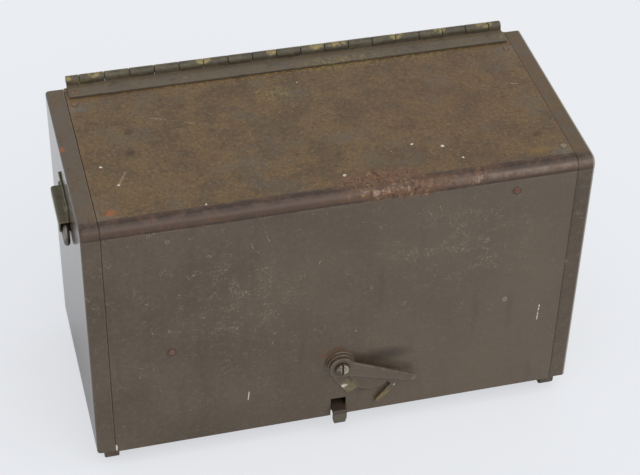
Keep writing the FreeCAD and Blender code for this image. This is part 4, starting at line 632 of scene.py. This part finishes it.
def rivet_paint():
    """Painted heads, two of them rusty and two rubbed pale."""
    paint = Paint("rivet_paint", rust=0.5, specks=0.3)
    g = paint.g
    crown = g.clouds(2.0, 0.44, 0.6, shift=53.0)
    paint.layer((crown, 0.5), PAINT_LIGHT, 0.45)
    red = [g.blob(g.place, spot, (4, 4, 4), 0.3) for spot in RUSTY_RIVETS]
    paint.layer((red[0], 0.7), RED_RUST, 0.8)
    paint.layer((red[1], 0.75), PATCH, 0.8)
    pale = g.blobs(
        g.place, 0.3, ((86.6, FRONT_Y, 75), (4, 4, 4)), ((113.9, -44.5, TOP_Z), (4, 4, 4)))
    paint.layer((pale, 0.5), RIVET_PALE, 0.45)
    return paint.finish()


def catch_paint():
    """Strap painted dark above its fold as shade inside the lid's notch, and greyer where it turns down."""
    paint = Paint("catch_paint", rust=0.1, specks=0.2, edge_wear=0.8)
    g = paint.g
    height = g.axis(paint.fine_ragged, "Z")
    # Painted shade on the strap's upper part inside the notch.
    paint.layer((g.ramp(height, 0.0150, 0.0162), 0.7), CATCH_SHADE, 0.5)
    paint.layer((g.ramp(height, 0.0156, 0.0140), 0.6), CATCH_GREY, 0.5)
    return paint.finish()


def latch_paint(name, worn_at, worn_size, worn_colour, extra=()):
    """Painted plate with bright rubbed edges and one patch worn to the metal."""
    paint = Paint(name, rust=0.15, specks=0.3, edge_wear=0.0)
    g = paint.g
    paint.layer(0.3, LATCH_PAINT, 0.4)
    rubbed = g.times(g.edges(0.9, 0.997, 0.96), g.clouds(4.0, 0.36, 0.56, detail=3.0, shift=41.0))
    paint.layer((rubbed, 0.55), LATCH_WORN, 0.4, -0.2)
    near = g.warped(3.0, 0.8)
    bare = g.blob(near, worn_at, worn_size, 0.5)
    streaks = g.clouds(2.2, 0.4, 0.56, detail=5.0, rough=0.75, shift=2.2)
    paint.layer((bare, 0.4), LATCH_BROWN, 0.45)
    paint.layer((bare, streaks, 0.7), worn_colour, 0.4, -0.2)
    for place, size, colour, share in extra:
        spot = g.blob(near, place, size, 0.6)
        paint.layer((spot, g.clouds(2.0, 0.38, 0.5, detail=5.0, shift=43.0), share), colour, 0.6)
    return paint.finish(g.times(bare, streaks, 0.4))


def bare_metal(name, bright, dark, rust, rough=(0.28, 0.5), sunk=None):
    """Worn metal; sunk gives the Y places, in millimetres, between which painted shade darkens it."""
    g = Graph(name)
    stain = g.noise(7.0, detail=5.0, rough=0.65)
    colour = g.mix(g.ramp(stain, 0.35, 0.65), dark, bright)
    spots = g.dots(2.6, 0.7, rust, g.warped(3.0, 0.8))
    colour = g.mix(g.times(spots, 0.7), colour, RUST)
    if sunk is not None:
        # Painted shade in the sunk slot.
        deep = g.ramp(g.axis(g.place, "Y"), sunk[0] * MM, sunk[1] * MM)
        colour = g.mix(g.times(deep, 0.9), colour, PAINTED_SHADE)
    brushed = g.noise(0.5, detail=2.0, stretch=(0.12, 1, 1))
    normal = g.bump(brushed, 0.02, g.soft_normal(0.3))
    metal = g.between(spots, 0.85, 0.2)
    return g.finish(colour, g.between(stain, *rough), normal, metal)


def moulding(name, colour, dusty):
    """Hard moulding: fine grain, rubbed edges and a little dust."""
    g = Graph(name)
    cloud = g.noise(22.0)
    grain = g.noise(0.7, detail=3.0)
    face = g.mix(g.times(g.ramp(cloud, 0.4, 0.7), 0.5), colour, dusty)
    face = g.mix(g.times(g.edges(0.7), 0.5), face, dusty)
    scuffs = g.clouds(5.0, 0.62, 0.7, detail=5.0, rough=0.8, stretch=(1, 0.2, 1))
    face = g.mix(g.times(scuffs, 0.3), face, dusty)
    normal = g.bump(grain, 0.03, g.soft_normal(0.6))
    return g.finish(face, g.between(cloud, 0.26, 0.42), normal, Specular_IOR_Level=0.28)


def wound_tape(name, axis_letter, pitch, colour, dark):
    """Varnished cotton tape or enamelled wire laid in turns across an axis."""
    g = Graph(name)
    along = g.maths("DIVIDE", g.axis(g.place, axis_letter), pitch * MM)
    turn = g.maths("PINGPONG", along, 0.5)
    groove = g.ramp(turn, 0.0, 0.2)
    weave = g.noise(1.0, detail=3.0)
    face = g.mix(groove, dark, g.mix(g.ramp(weave, 0.4, 0.65), colour, dark))
    height = g.maths("ADD", g.times(groove, 0.8), g.times(weave, 0.2))
    return g.finish(face, g.between(weave, 0.4, 0.6), g.bump(height, 0.25))


def paper(name, colour, stain):
    g = Graph(name)
    fibres = g.noise(1.2, detail=5.0, rough=0.8, stretch=(1, 1, 0.4))
    age = g.noise(24.0, detail=5.0)
    face = g.mix(g.ramp(age, 0.42, 0.7), colour, stain)
    face = g.mix(g.times(g.ramp(fibres, 0.55, 0.7), 0.35), face, stain)
    face = g.mix(g.times(g.dots(6.0, 0.8, 0.2, g.warped(4.0, 1.0)), 0.5), face, stain)
    return g.finish(face, g.between(fibres, 0.75, 0.9), g.bump(fibres, 0.05))


def dress(material, *names):
    for name in names:
        for holder in NODES[name].material_slots:
            holder.material = material


dress(lid_paint(), "lid_panel")
dress(end_paint(), "left_end_panel", "right_end_panel")
dress(Paint("case_paint").finish(), "case_shell", "left_runner", "right_runner", "partition",
      "panel_support", "battery_tray", "lid_side_strips", "card_frame")
dress(catch_paint(), "lid_catch")
dress(bracket_paint(), "left_strap_bracket",
      "right_strap_bracket", "strap_bracket_rivets")
dress(rivet_paint(), "lid_rivets", "hinge_case_rivets")
dress(hinge_paint(), "hinge_lid_leaf", "hinge_case_leaf")
dress(latch_paint("latch_base_paint", (6.5, -58.5, 31.5), (9, 3, 6.5), BASE_WORN, (
    ((2.5, -58.5, 32.5), (2.2, 3, 1.6), WHITE_MARK, 0.9),
    ((-9, -58.5, 58), (9, 3, 6), RUST, 0.8))), "latch_base_plate")
dress(latch_paint("latch_hook_paint", (24.0, -59.4, 22.0), (7, 3, 5), HOOK_WORN, (
    ((29.5, -59.4, 29.0), (1.6, 3, 1.2), WHITE_MARK, 0.9),
    ((-8, -59.4, 55), (6, 3, 6), RUST, 0.6))), "latch_hook")
dress(latch_paint("latch_lever_paint", (39.0, -61.0, 33.5), (2.4, 3, 1.6), LEVER_WORN), "latch_lever")
dress(bare_metal("dull_steel", STEEL, STEEL_DARK, rust=0.35), "left_strap_ring", "right_strap_ring",
      "hinge_pin", "panel_screws", "left_cradle", "right_cradle", "pressel_pin", "key_pivot_pin",
      "latch_nut", "buzzer_frame", "buzzer_armature")
dress(bare_metal("screw_steel", SCREW_BRIGHT, SCREW_DARK, rust=0.3, rough=(0.25, 0.5),
                 sunk=SCREW_SLOT), "latch_pivot_screw")
dress(bare_metal("brass", BRASS, BRASS_DARK, rust=0.0), "key_bridge", "key_lever", "key_contacts",
      "key_spring", "terminal_posts", "front_terminal_nut", "rear_terminal_nut", "cell_terminals",
      "cell_link", "buzzer_contact")
dress(bare_metal("tin_plate", TIN, TIN_DARK, rust=0.1), "capacitor",
      "receiver_capsule", "transmitter_capsule")
dress(moulding("black_moulding", BLACK, DUSTY), "handset_body", "ear_cap", "mouthpiece",
      "pressel_bar", "key_knob", "cord_gland")
dress(moulding("panel_moulding", PANEL_BROWN, PANEL_DUSTY), "instrument_panel",
      "induction_coil_frame")
dress(wound_tape("coil_tape", "X", 9.0, TAPE, TAPE_DARK), "induction_coil_winding")
dress(wound_tape("bobbin_tape", "Z", 3.0, WIRE_GREEN, WIRE_DARK), "buzzer_coil")
dress(paper("cell_wrap", WRAP, WRAP_STAIN), "left_dry_cell", "right_dry_cell")
dress(paper("card", CARD, CARD_STAIN), "blank_card")


# ---- smooth pieces over the plain solids

RECORD = frame["record"]
BODY_OF = {node: body for body, nodes in RECORD["behaviour"]["bodies"].items() for node in nodes}
SAME_PLACE = 0.003
FLAT_TURN = 0.4
SMOOTH_TURN = 48
SHARP_TURN = 28
SQUARE_TURN = 60


def put_in_scene(name, data):
    made = bpy.data.objects.new(name, data)
    bpy.context.scene.collection.objects.link(made)
    return made


def publish(name, shape, node):
    """Puts a finished shape in the scene in place of a node, with the node's material."""
    shape.normal_update()
    mesh = bpy.data.meshes.new(name)
    shape.to_mesh(mesh)
    weigh_normals(shape, mesh)
    shape.free()
    mesh.materials.append(NODES[node].material_slots[0].material)
    piece = put_in_scene(name, mesh)
    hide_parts(node)
    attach(piece, BODY_OF[node])


def publish_new(name, shape, node):
    """Publishes a shape that was built from nothing, once its faces all look outwards."""
    bmesh.ops.recalc_face_normals(shape, faces=shape.faces)
    publish(name, shape, node)


def weigh_normals(shape, mesh):
    """Smooth shading in which the large faces keep flat and the narrow ones bend between them."""
    areas = {face: face.calc_area() for face in shape.faces}
    limit = math.cos(math.radians(SMOOTH_TURN))
    normals = []
    for face in shape.faces:
        for loop in face.loops:
            total = Vector()
            for other in loop.vert.link_faces:
                if other.normal.dot(face.normal) > limit:
                    total += other.normal * areas[other]
            normals.append(total.normalized() if total.length > 0 else face.normal.copy())
    for polygon in mesh.polygons:
        polygon.use_smooth = True
    mesh.normals_split_custom_set(normals)


def joined_shape(node):
    """A node's own shape, its faces joined where their corners meet."""
    shape = bmesh.new()
    shape.from_mesh(NODES[node].data)
    bmesh.ops.remove_doubles(shape, verts=shape.verts, dist=SAME_PLACE * MM)
    return shape


def soften(shape, radius, segments=2, wanted=None, sharpness=SHARP_TURN):
    """Rounds the edges that turn by more than some degrees and that a test accepts."""
    edges = [edge for edge in shape.edges
             if edge.is_manifold and edge.calc_face_angle() > math.radians(sharpness)
             and (wanted is None or wanted(edge))]
    bmesh.ops.bevel(shape, geom=edges, offset=radius * MM, offset_type="OFFSET", segments=segments,
                    profile=0.5, affect="EDGES", clamp_overlap=True)


def islands(node):
    """Lowest and highest corner of each separate solid of a node, in millimetres."""
    shape = joined_shape(node)
    left = set(shape.verts)
    found = []
    while left:
        grown = [left.pop()]
        seen = list(grown)
        while grown:
            vert = grown.pop()
            for edge in vert.link_edges:
                other = edge.other_vert(vert)
                if other in left:
                    left.discard(other)
                    grown.append(other)
                    seen.append(other)
        found.append([Vector([pick(vert.co[axis] for vert in seen) / MM for axis in range(3)])
                      for pick in (min, max)])
    shape.free()
    return sorted(found, key=lambda pair: tuple(round(value, 2) for value in pair[0]))


def skin(shape, rings, sides):
    """Adds the faces between each ring of corners and the next; a ring may be one point."""
    for near, far in zip(rings, rings[1:]):
        for step in range(sides):
            after = (step + 1) % sides
            corners = dict.fromkeys((near[step % len(near)], near[after % len(near)],
                                     far[after % len(far)], far[step % len(far)]))
            if len(corners) > 2:
                shape.faces.new(list(corners))


def lathe(shape, profile, place, towards, sides, closed=False):
    """Adds a turned shape: (along, radius) corners round an axis from a place, in millimetres."""
    turn = Vector(towards).to_track_quat("Z", "Y").to_matrix()
    origin = Vector(place)
    rings = []
    for along, radius in profile:
        count = sides if radius > 0 else 1
        ring = []
        for step in range(count):
            angle = math.tau * step / sides
            corner = Vector((radius * math.cos(angle), radius * math.sin(angle), along))
            ring.append(shape.verts.new((origin + turn @ corner) * MM))
        rings.append(ring)
    if closed:
        rings.append(rings[0])
    skin(shape, rings, sides)


def dome(height, radius, steps=5):
    """Profile of a low round head on a face."""
    corners = [(0, 0), (0, radius)]
    for step in range(1, steps):
        angle = math.pi / 2 * step / steps
        corners.append((height * math.sin(angle), radius * math.cos(angle) ** 0.8))
    corners.append((height, 0))
    return corners


def rounded(profile, radius, steps=3):
    """A profile with its inner corners replaced by short arcs of straight pieces."""
    result = [profile[0]]
    for before, corner, after in zip(profile, profile[1:], profile[2:]):
        middle = Vector(corner)
        to_before = Vector(before) - middle
        to_after = Vector(after) - middle
        reach = min(radius, to_before.length * 0.45, to_after.length * 0.45)
        start = middle + to_before.normalized() * reach
        end = middle + to_after.normalized() * reach
        for step in range(steps + 1):
            share = step / steps
            point = start.lerp(middle, share).lerp(middle.lerp(end, share), share)
            result.append(tuple(point))
    result.append(profile[-1])
    return result


def box_shape(shape, low, high):
    """Adds a plain bar between two corners, in millimetres, to be softened with the rest."""
    made = bmesh.ops.create_cube(shape, size=1.0)["verts"]
    for vert in made:
        for axis in range(3):
            vert.co[axis] = (low[axis] if vert.co[axis] < 0 else high[axis]) * MM


def tube(shape, path, radius, sides=14):
    """Adds a closed wire loop in a plane of constant X through (y, z) places."""
    count = len(path)
    rings = []
    x = path[0][0]
    for index, (_, y, z) in enumerate(path):
        before = path[index - 1]
        after = path[(index + 1) % count]
        run = Vector((0, after[1] - before[1], after[2] - before[2])).normalized()
        lighter_towards_right = Vector((0, -run.z, run.y))
        ring = []
        for step in range(sides):
            angle = math.tau * step / sides
            corner = Vector((x, y, z)) + lighter_towards_right * (radius * math.cos(angle))
            corner.x += radius * math.sin(angle)
            ring.append(shape.verts.new(corner * MM))
        rings.append(ring)
    skin(shape, rings + rings[:1], sides)


def smooth_copy(node, radius, segments=2, rounder=None, then=None):
    """A node's own shape with soft edges; rounder is an edge test with its own, larger radius."""
    shape = joined_shape(node)
    bmesh.ops.dissolve_limit(shape, angle_limit=math.radians(FLAT_TURN), verts=shape.verts,
                             edges=shape.edges)
    if rounder is None:
        soften(shape, radius, segments)
    else:
        soften(shape, *rounder)
        soften(shape, radius, segments, sharpness=SQUARE_TURN)
    if then is not None:
        then(shape)
    publish(node + "_smooth", shape, node)


LATCH_Z = 49.0
HEAD_FACE = -62.35
HEAD_GROWTH = 1.17
END_ROUND = 1.8
HALF_LENGTH = 127.0
LID_GROWTH_RIGHT = 0.28
LID_GROWTH_LEFT = 0.4
CATCH_GROWTH = 0.72
TAPER_TOP = 11.8
TAPER_LENGTH = 3.0
TAPER = 0.75
RUNNER_NOSE = 3.5
RUNNER_FRONT = -40.0
SIDE_EDGE = 0.6
BASE_TOP = 11.5
BACK_EDGE = 57.0


def on_end_rim(edge):
    """The outer edges of an end panel, along its front, its bend and its top."""
    first, second = (vert.co / MM for vert in edge.verts)
    outside = min(abs(first.x), abs(second.x)) > HALF_LENGTH - 0.05
    along_base = max(first.z, second.z) < BASE_TOP
    along_back = min(first.y, second.y) > BACK_EDGE
    return outside and not along_base and not along_back


def widen_lid(shape):
    """Draws the lid's side edges nearer to the rims; it sits closer to the left one."""
    reach = max(vert.co.x for vert in shape.verts)
    for vert in shape.verts:
        if abs(vert.co.x) > reach - SIDE_EDGE * MM:
            vert.co.x += (LID_GROWTH_RIGHT if vert.co.x > 0 else -LID_GROWTH_LEFT) * MM


def widen_catch(shape):
    """The strap fills the lid's notch, and its turned-down end narrows below the lid."""
    everything = shape.verts[:] + shape.edges[:] + shape.faces[:]
    bmesh.ops.bisect_plane(shape, geom=everything, plane_co=(0, 0, TAPER_TOP * MM), plane_no=(0, 0, 1))
    for vert in shape.verts:
        low = TAPER_TOP - vert.co.z / MM if vert.co.y < FRONT_Y * MM else 0.0
        share = min(max(low / TAPER_LENGTH, 0.0), 1.0)
        vert.co.x += math.copysign((CATCH_GROWTH - share * TAPER) * MM, vert.co.x)


def lengthen_runner(shape):
    """The front end of a runner shows a little below the lid."""
    for vert in shape.verts:
        if vert.co.y < RUNNER_FRONT * MM:
            vert.co.y -= RUNNER_NOSE * MM


def broaden_head(shape):
    """The pivot screw's head, drawn out round its axis."""
    for vert in shape.verts:
        if vert.co.y < HEAD_FACE * MM:
            vert.co.x *= HEAD_GROWTH
            vert.co.z = (vert.co.z - LATCH_Z * MM) * HEAD_GROWTH + LATCH_Z * MM


for panel in ("left_end_panel", "right_end_panel"):
    smooth_copy(panel, 0.25, 2, (END_ROUND, 4, on_end_rim))
smooth_copy("lid_panel", 0.25, 3, then=widen_lid)
smooth_copy("lid_catch", 0.3, then=widen_catch)
smooth_copy("latch_pivot_screw", 0.2, then=broaden_head)
for runner in ("left_runner", "right_runner"):
    smooth_copy(runner, 0.5, then=lengthen_runner)
for plain, radius in (
        ("case_shell", 0.35),
        ("left_strap_bracket", 0.3), ("right_strap_bracket", 0.3), ("latch_base_plate", 0.2),
        ("latch_hook", 0.3), ("latch_lever", 0.35), ("partition", 0.3),
        ("instrument_panel", 0.5), ("card_frame", 0.3), ("battery_tray", 0.25), ("key_lever", 0.5),
        ("key_bridge", 0.3), ("left_dry_cell", 0.8), ("right_dry_cell", 0.8), ("capacitor", 0.5),
        ("buzzer_frame", 0.3), ("left_cradle", 0.3), ("right_cradle", 0.3), ("pressel_bar", 1.0),
        ("latch_nut", 0.3), ("buzzer_armature", 0.2), ("cell_link", 0.2)):
    smooth_copy(plain, radius)


def replace_heads(node, height, radius):
    """Round heads where a node has its plain ones; low ones where they sit on the hinge leaf."""
    shape = bmesh.new()
    for low, high in islands(node):
        size = high - low
        axis = min(range(3), key=lambda index: size[index])
        middle = (low + high) / 2
        outward = Vector()
        outward[axis] = 1.0 if middle[axis] > 0 else -1.0
        place = middle.copy()
        place[axis] = low[axis] if outward[axis] > 0 else high[axis]
        flush = place.z > 160 or axis == 1 and place.y > 0
        share = 0.35 if flush else 1.0
        turn = dome(height * share, radius)
        lathe(shape, turn, place, outward, sides=24)
    publish_new(node + "_round", shape, node)


replace_heads("lid_rivets", 0.62, 1.75)
replace_heads("hinge_case_rivets", 0.6, 1.75)
replace_heads("strap_bracket_rivets", 0.8, 1.6)


RING_BEND = 3.0


def round_ring(node):
    low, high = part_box(node)
    radius = (high.x - low.x) / MM / 2 * 1.06
    x = (high.x + low.x) / MM / 2
    near, far = low.y / MM + radius, high.y / MM - radius
    bottom, crown = low.z / MM + radius, high.z / MM - radius
    path = []
    corners = (
        (near, bottom, 180), (far, bottom, 270), (far, crown, 0), (near, crown, 90))
    for y, z, start in corners:
        centre_y = y + (RING_BEND if y == near else -RING_BEND)
        centre_z = z + (RING_BEND if z == bottom else -RING_BEND)
        for step in range(9):
            angle = math.radians(start + 90 * step / 8)
            path.append((x, centre_y + RING_BEND * math.cos(angle), centre_z + RING_BEND * math.sin(angle)))
    shape = bmesh.new()
    tube(shape, path, radius)
    publish_new(node + "_round", shape, node)


round_ring("left_strap_ring")
round_ring("right_strap_ring")


# ---- hinge

BARREL = (60.0, 162.0)
BARREL_RADIUS = 2.45
PIN_RADIUS = 1.2
LID_KNUCKLES = 9
END_KNUCKLE = 6.9
KNUCKLE_GAP = 0.09
LEAF = 1.2
LEAF_REACH = 12.7
COMB = 2.3


def knuckle_spans(half, of_lid):
    """Start and end along X of one leaf's knuckles, from the end knuckle inwards."""
    total = LID_KNUCKLES * 2 - 1
    pitch = (half - END_KNUCKLE) * 2 / total
    marks = [-half] + [pitch * index - half + END_KNUCKLE for index in range(total + 1)] + [half]
    spans = list(zip(marks, marks[1:]))
    return [span for index, span in enumerate(spans) if (index % 2 == 1) == of_lid]


def hinge_leaf(node, of_lid):
    """Leaf with a comb of tongues that roll into round knuckles."""
    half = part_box(node)[1].x / MM
    y, z = BARREL
    shape = bmesh.new()

    def slab(start, end, far, near):
        """Sheet between two places along the hinge and two distances from the pin."""
        low, high = (-far, -BARREL_RADIUS), (-near, LEAF - BARREL_RADIUS)
        if not of_lid:
            low, high = low[::-1], high[::-1]
        box_shape(shape, (start, y + low[0], z + low[1]), (end, y + high[0], z + high[1]))

    slab(-half, half, LEAF_REACH, COMB)
    for start, end in knuckle_spans(half, of_lid):
        slab(start + KNUCKLE_GAP, end - KNUCKLE_GAP, COMB + 0.6, 0.2)
    soften(shape, 0.2)
    for start, end in knuckle_spans(half, of_lid):
        length = end - start - KNUCKLE_GAP * 2
        outline = rounded([(0, PIN_RADIUS), (0, BARREL_RADIUS), (length, BARREL_RADIUS),
                           (length, PIN_RADIUS)], 0.45)
        lathe(shape, outline, (start + KNUCKLE_GAP, y, z), (1, 0, 0), sides=32, closed=True)
    publish_new(node + "_rolled", shape, node)


hinge_leaf("hinge_lid_leaf", True)
hinge_leaf("hinge_case_leaf", False)


# ---- turned pieces inside

def turned_piece(node, profile, place, towards, radius, sides=48, closed=False):
    shape = bmesh.new()
    lathe(shape, rounded(profile, radius), place, towards, sides, closed)
    publish_new(node + "_turned", shape, node)


def foot_of(node):
    """Middle of a node's underside, in millimetres, and its height."""
    low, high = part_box(node)
    middle = (low + high) / 2 / MM
    return Vector((middle.x, middle.y, low.z / MM)), (high.z - low.z) / MM


def knob_profile(height):
    return [(0, 0), (0, 10.8), (1.6, 11.0), (3.0, 7.5), (5.5, 5.5), (height - 5.2, 5.6),
            (height - 3.2, 8.0), (height - 1.4, 7.8), (height, 4.5), (height, 0)]


place, tall = foot_of("key_knob")
turned_piece("key_knob", knob_profile(tall), place, (0, 0, 1), 1.2)
place, tall = foot_of("mouthpiece")
CAP_OUT, CAP_IN, CAP_DEEP = 24.55, 22.7, 6.0
turned_piece("mouthpiece", [
    (0, 17.0), (0, 19.0), (2.0, 18.6), (9.0, 15.6), (15.0, 13.6), (15.2, 22.4), (17.0, CAP_OUT),
    (tall, CAP_OUT), (tall, CAP_IN), (tall - CAP_DEEP, CAP_IN), (tall - CAP_DEEP, 10.2),
    (14.0, 10.2), (6.0, 13.2)], place, (0, 0, 1), 1.0, closed=True)


def make_ear_cap():
    """Cap with six places for sound holes in its sunk face, each marked by a low rim."""
    foot, height = foot_of("ear_cap")
    shape = bmesh.new()
    outline = [(3.0, 0), (3.0, 9.2), (3.0, CAP_IN), (height, CAP_IN), (height, CAP_OUT), (2.0, CAP_OUT),
               (0, CAP_IN), (0.7, 12.0), (0.9, 9.2), (0.9, 0)]
    lathe(shape, rounded(outline, 0.9), foot, (0, 0, 1), 48)
    for step in range(6):
        angle = math.radians(60 * step)
        spot = foot + Vector((7.0 * math.cos(angle), 7.0 * math.sin(angle), 0.86))
        lathe(shape, [(0, 0), (0, 1.7), (-0.12, 2.1), (-0.02, 2.4), (0.3, 2.4)], spot, (0, 0, 1), 20)
    publish_new("ear_cap_turned", shape, "ear_cap")


make_ear_cap()
low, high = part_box("cord_gland")
middle = (low + high) / 2 / MM
turned_piece("cord_gland", [
    (0, 3.05), (0, 4.9), (1.6, 4.9), (2.2, 4.2), (3.4, 4.6), (4.2, 4.1), (5.4, 4.4), (6.2, 3.9),
    (7.4, 4.2), (8.2, 3.7), (10.0, 3.9), (11.8, 3.6), (12.0, 3.05)],
    (low.x / MM, middle.y, middle.z), (1, 0, 0), 0.3, 36, closed=True)
place, tall = foot_of("buzzer_coil")
turned_piece("buzzer_coil", [
    (0, 4.1), (0, 8.9), (1.4, 8.9), (1.5, 7.4), (tall - 1.5, 7.4), (tall - 1.4, 8.9), (tall, 8.9),
    (tall, 4.1)], place, (0, 0, 1), 0.25, closed=True)
smooth_copy("handset_body", 1.2, 3)


# ---- floor, light and camera

BACKDROP = tone(235, 237, 241)
BACKDROP_SHARE = 0.7
FLOOR_LOW = (0.80, 0.815, 0.84, 1.0)
FLOOR_HIGH = (0.84, 0.85, 0.87, 1.0)
SKY_LIGHT = (0.93, 0.96, 1.0, 1.0)
SKY_SEEN = (0.93, 0.95, 0.97, 1.0)
WORLD_LEVEL = 0.62
KEY_FROM = (0.2, -0.5, 0.85)
KEY_SPREAD = 75.0
KEY_LEVEL = 1.6
FLOOR_HALF = 6.0
PHOTO_WIDTH = 640
FOCAL_PIXELS = 1825.67
SENSOR = 36.0
CAMERA_PLACE = (-0.18985, -0.70223, 0.70369)
CAMERA_TURNS = (49.6265, -1.1939, -14.3796)


def make_floor():
    mesh = bpy.data.meshes.new("floor")
    corners = [(-FLOOR_HALF, -FLOOR_HALF, 0), (FLOOR_HALF, -FLOOR_HALF, 0),
               (FLOOR_HALF, FLOOR_HALF, 0), (-FLOOR_HALF, FLOOR_HALF, 0)]
    mesh.from_pydata(corners, [], [(0, 1, 2, 3)])
    floor = put_in_scene("floor", mesh)
    g = Graph("floor")
    cloud = g.noise(300.0, detail=2.0)
    mesh.materials.append(g.finish(g.mix(cloud, FLOOR_LOW, FLOOR_HIGH), 0.9, Specular_IOR_Level=0.1))
    show_lighter(g)


def show_lighter(g):
    """The camera sees the floor partly as an evenly lit backdrop, so its shadows stay light."""
    glow = g.node("ShaderNodeEmission", Color=BACKDROP, Strength=1.0)
    own = g.shader.outputs[0]
    lifted = mixed_shaders(g.tree, BACKDROP_SHARE, own, glow.outputs[0])
    chosen = mixed_shaders(g.tree, rays_seen(g.tree, "Is Camera Ray"), own, lifted)
    output = next(item for item in g.tree.nodes if item.type == "OUTPUT_MATERIAL")
    g.tree.links.new(chosen, output.inputs[0])


def mixed_shaders(tree, share, first, second):
    """Two shaders mixed by a plain number or by a socket."""
    made = tree.nodes.new("ShaderNodeMixShader")
    if isinstance(share, float):
        made.inputs[0].default_value = share
    else:
        tree.links.new(share, made.inputs[0])
    tree.links.new(first, made.inputs[1])
    tree.links.new(second, made.inputs[2])
    return made.outputs[0]


def rays_seen(tree, first, *others):
    """1 for rays of the kinds named."""
    paths = tree.nodes.new("ShaderNodeLightPath")
    seen = paths.outputs[first]
    for ray in others:
        either = tree.nodes.new("ShaderNodeMath")
        either.operation = "MAXIMUM"
        tree.links.new(seen, either.inputs[0])
        tree.links.new(paths.outputs[ray], either.inputs[1])
        seen = either.outputs[0]
    return seen


def make_world():
    world = bpy.data.worlds.new("world")
    bpy.context.scene.world = world
    world.use_nodes = True
    tree = world.node_tree
    tree.nodes.clear()
    seen = rays_seen(tree, "Is Camera Ray", "Is Glossy Ray", "Is Transmission Ray")
    skies = []
    for colour, level in ((SKY_LIGHT, WORLD_LEVEL), (SKY_SEEN, 1.0)):
        sky = tree.nodes.new("ShaderNodeBackground")
        sky.inputs["Color"].default_value = colour
        sky.inputs["Strength"].default_value = level
        skies.append(sky.outputs[0])
    output = tree.nodes.new("ShaderNodeOutputWorld")
    tree.links.new(mixed_shaders(tree, seen, *skies), output.inputs[0])


def make_sun(name, from_side, spread, level):
    """A distant soft light; the spread is its angle across in degrees."""
    lamp = bpy.data.lights.new(name, "SUN")
    lamp.angle = math.radians(spread)
    lamp.energy = level
    holder = put_in_scene(name, lamp)
    holder.rotation_euler = Vector(from_side).to_track_quat("Z", "Y").to_euler()


def make_camera():
    lens = bpy.data.cameras.new("camera")
    lens.sensor_fit = "HORIZONTAL"
    lens.sensor_width = SENSOR
    lens.lens = FOCAL_PIXELS / PHOTO_WIDTH * SENSOR
    lens.clip_start = 0.01
    camera = put_in_scene("camera", lens)
    camera.location = CAMERA_PLACE
    camera.rotation_euler = [math.radians(turn) for turn in CAMERA_TURNS]
    bpy.context.scene.camera = camera


make_floor()
make_world()
make_sun("key_light", KEY_FROM, KEY_SPREAD, KEY_LEVEL)
make_camera()
bpy.context.scene.view_settings.view_transform = "Standard"
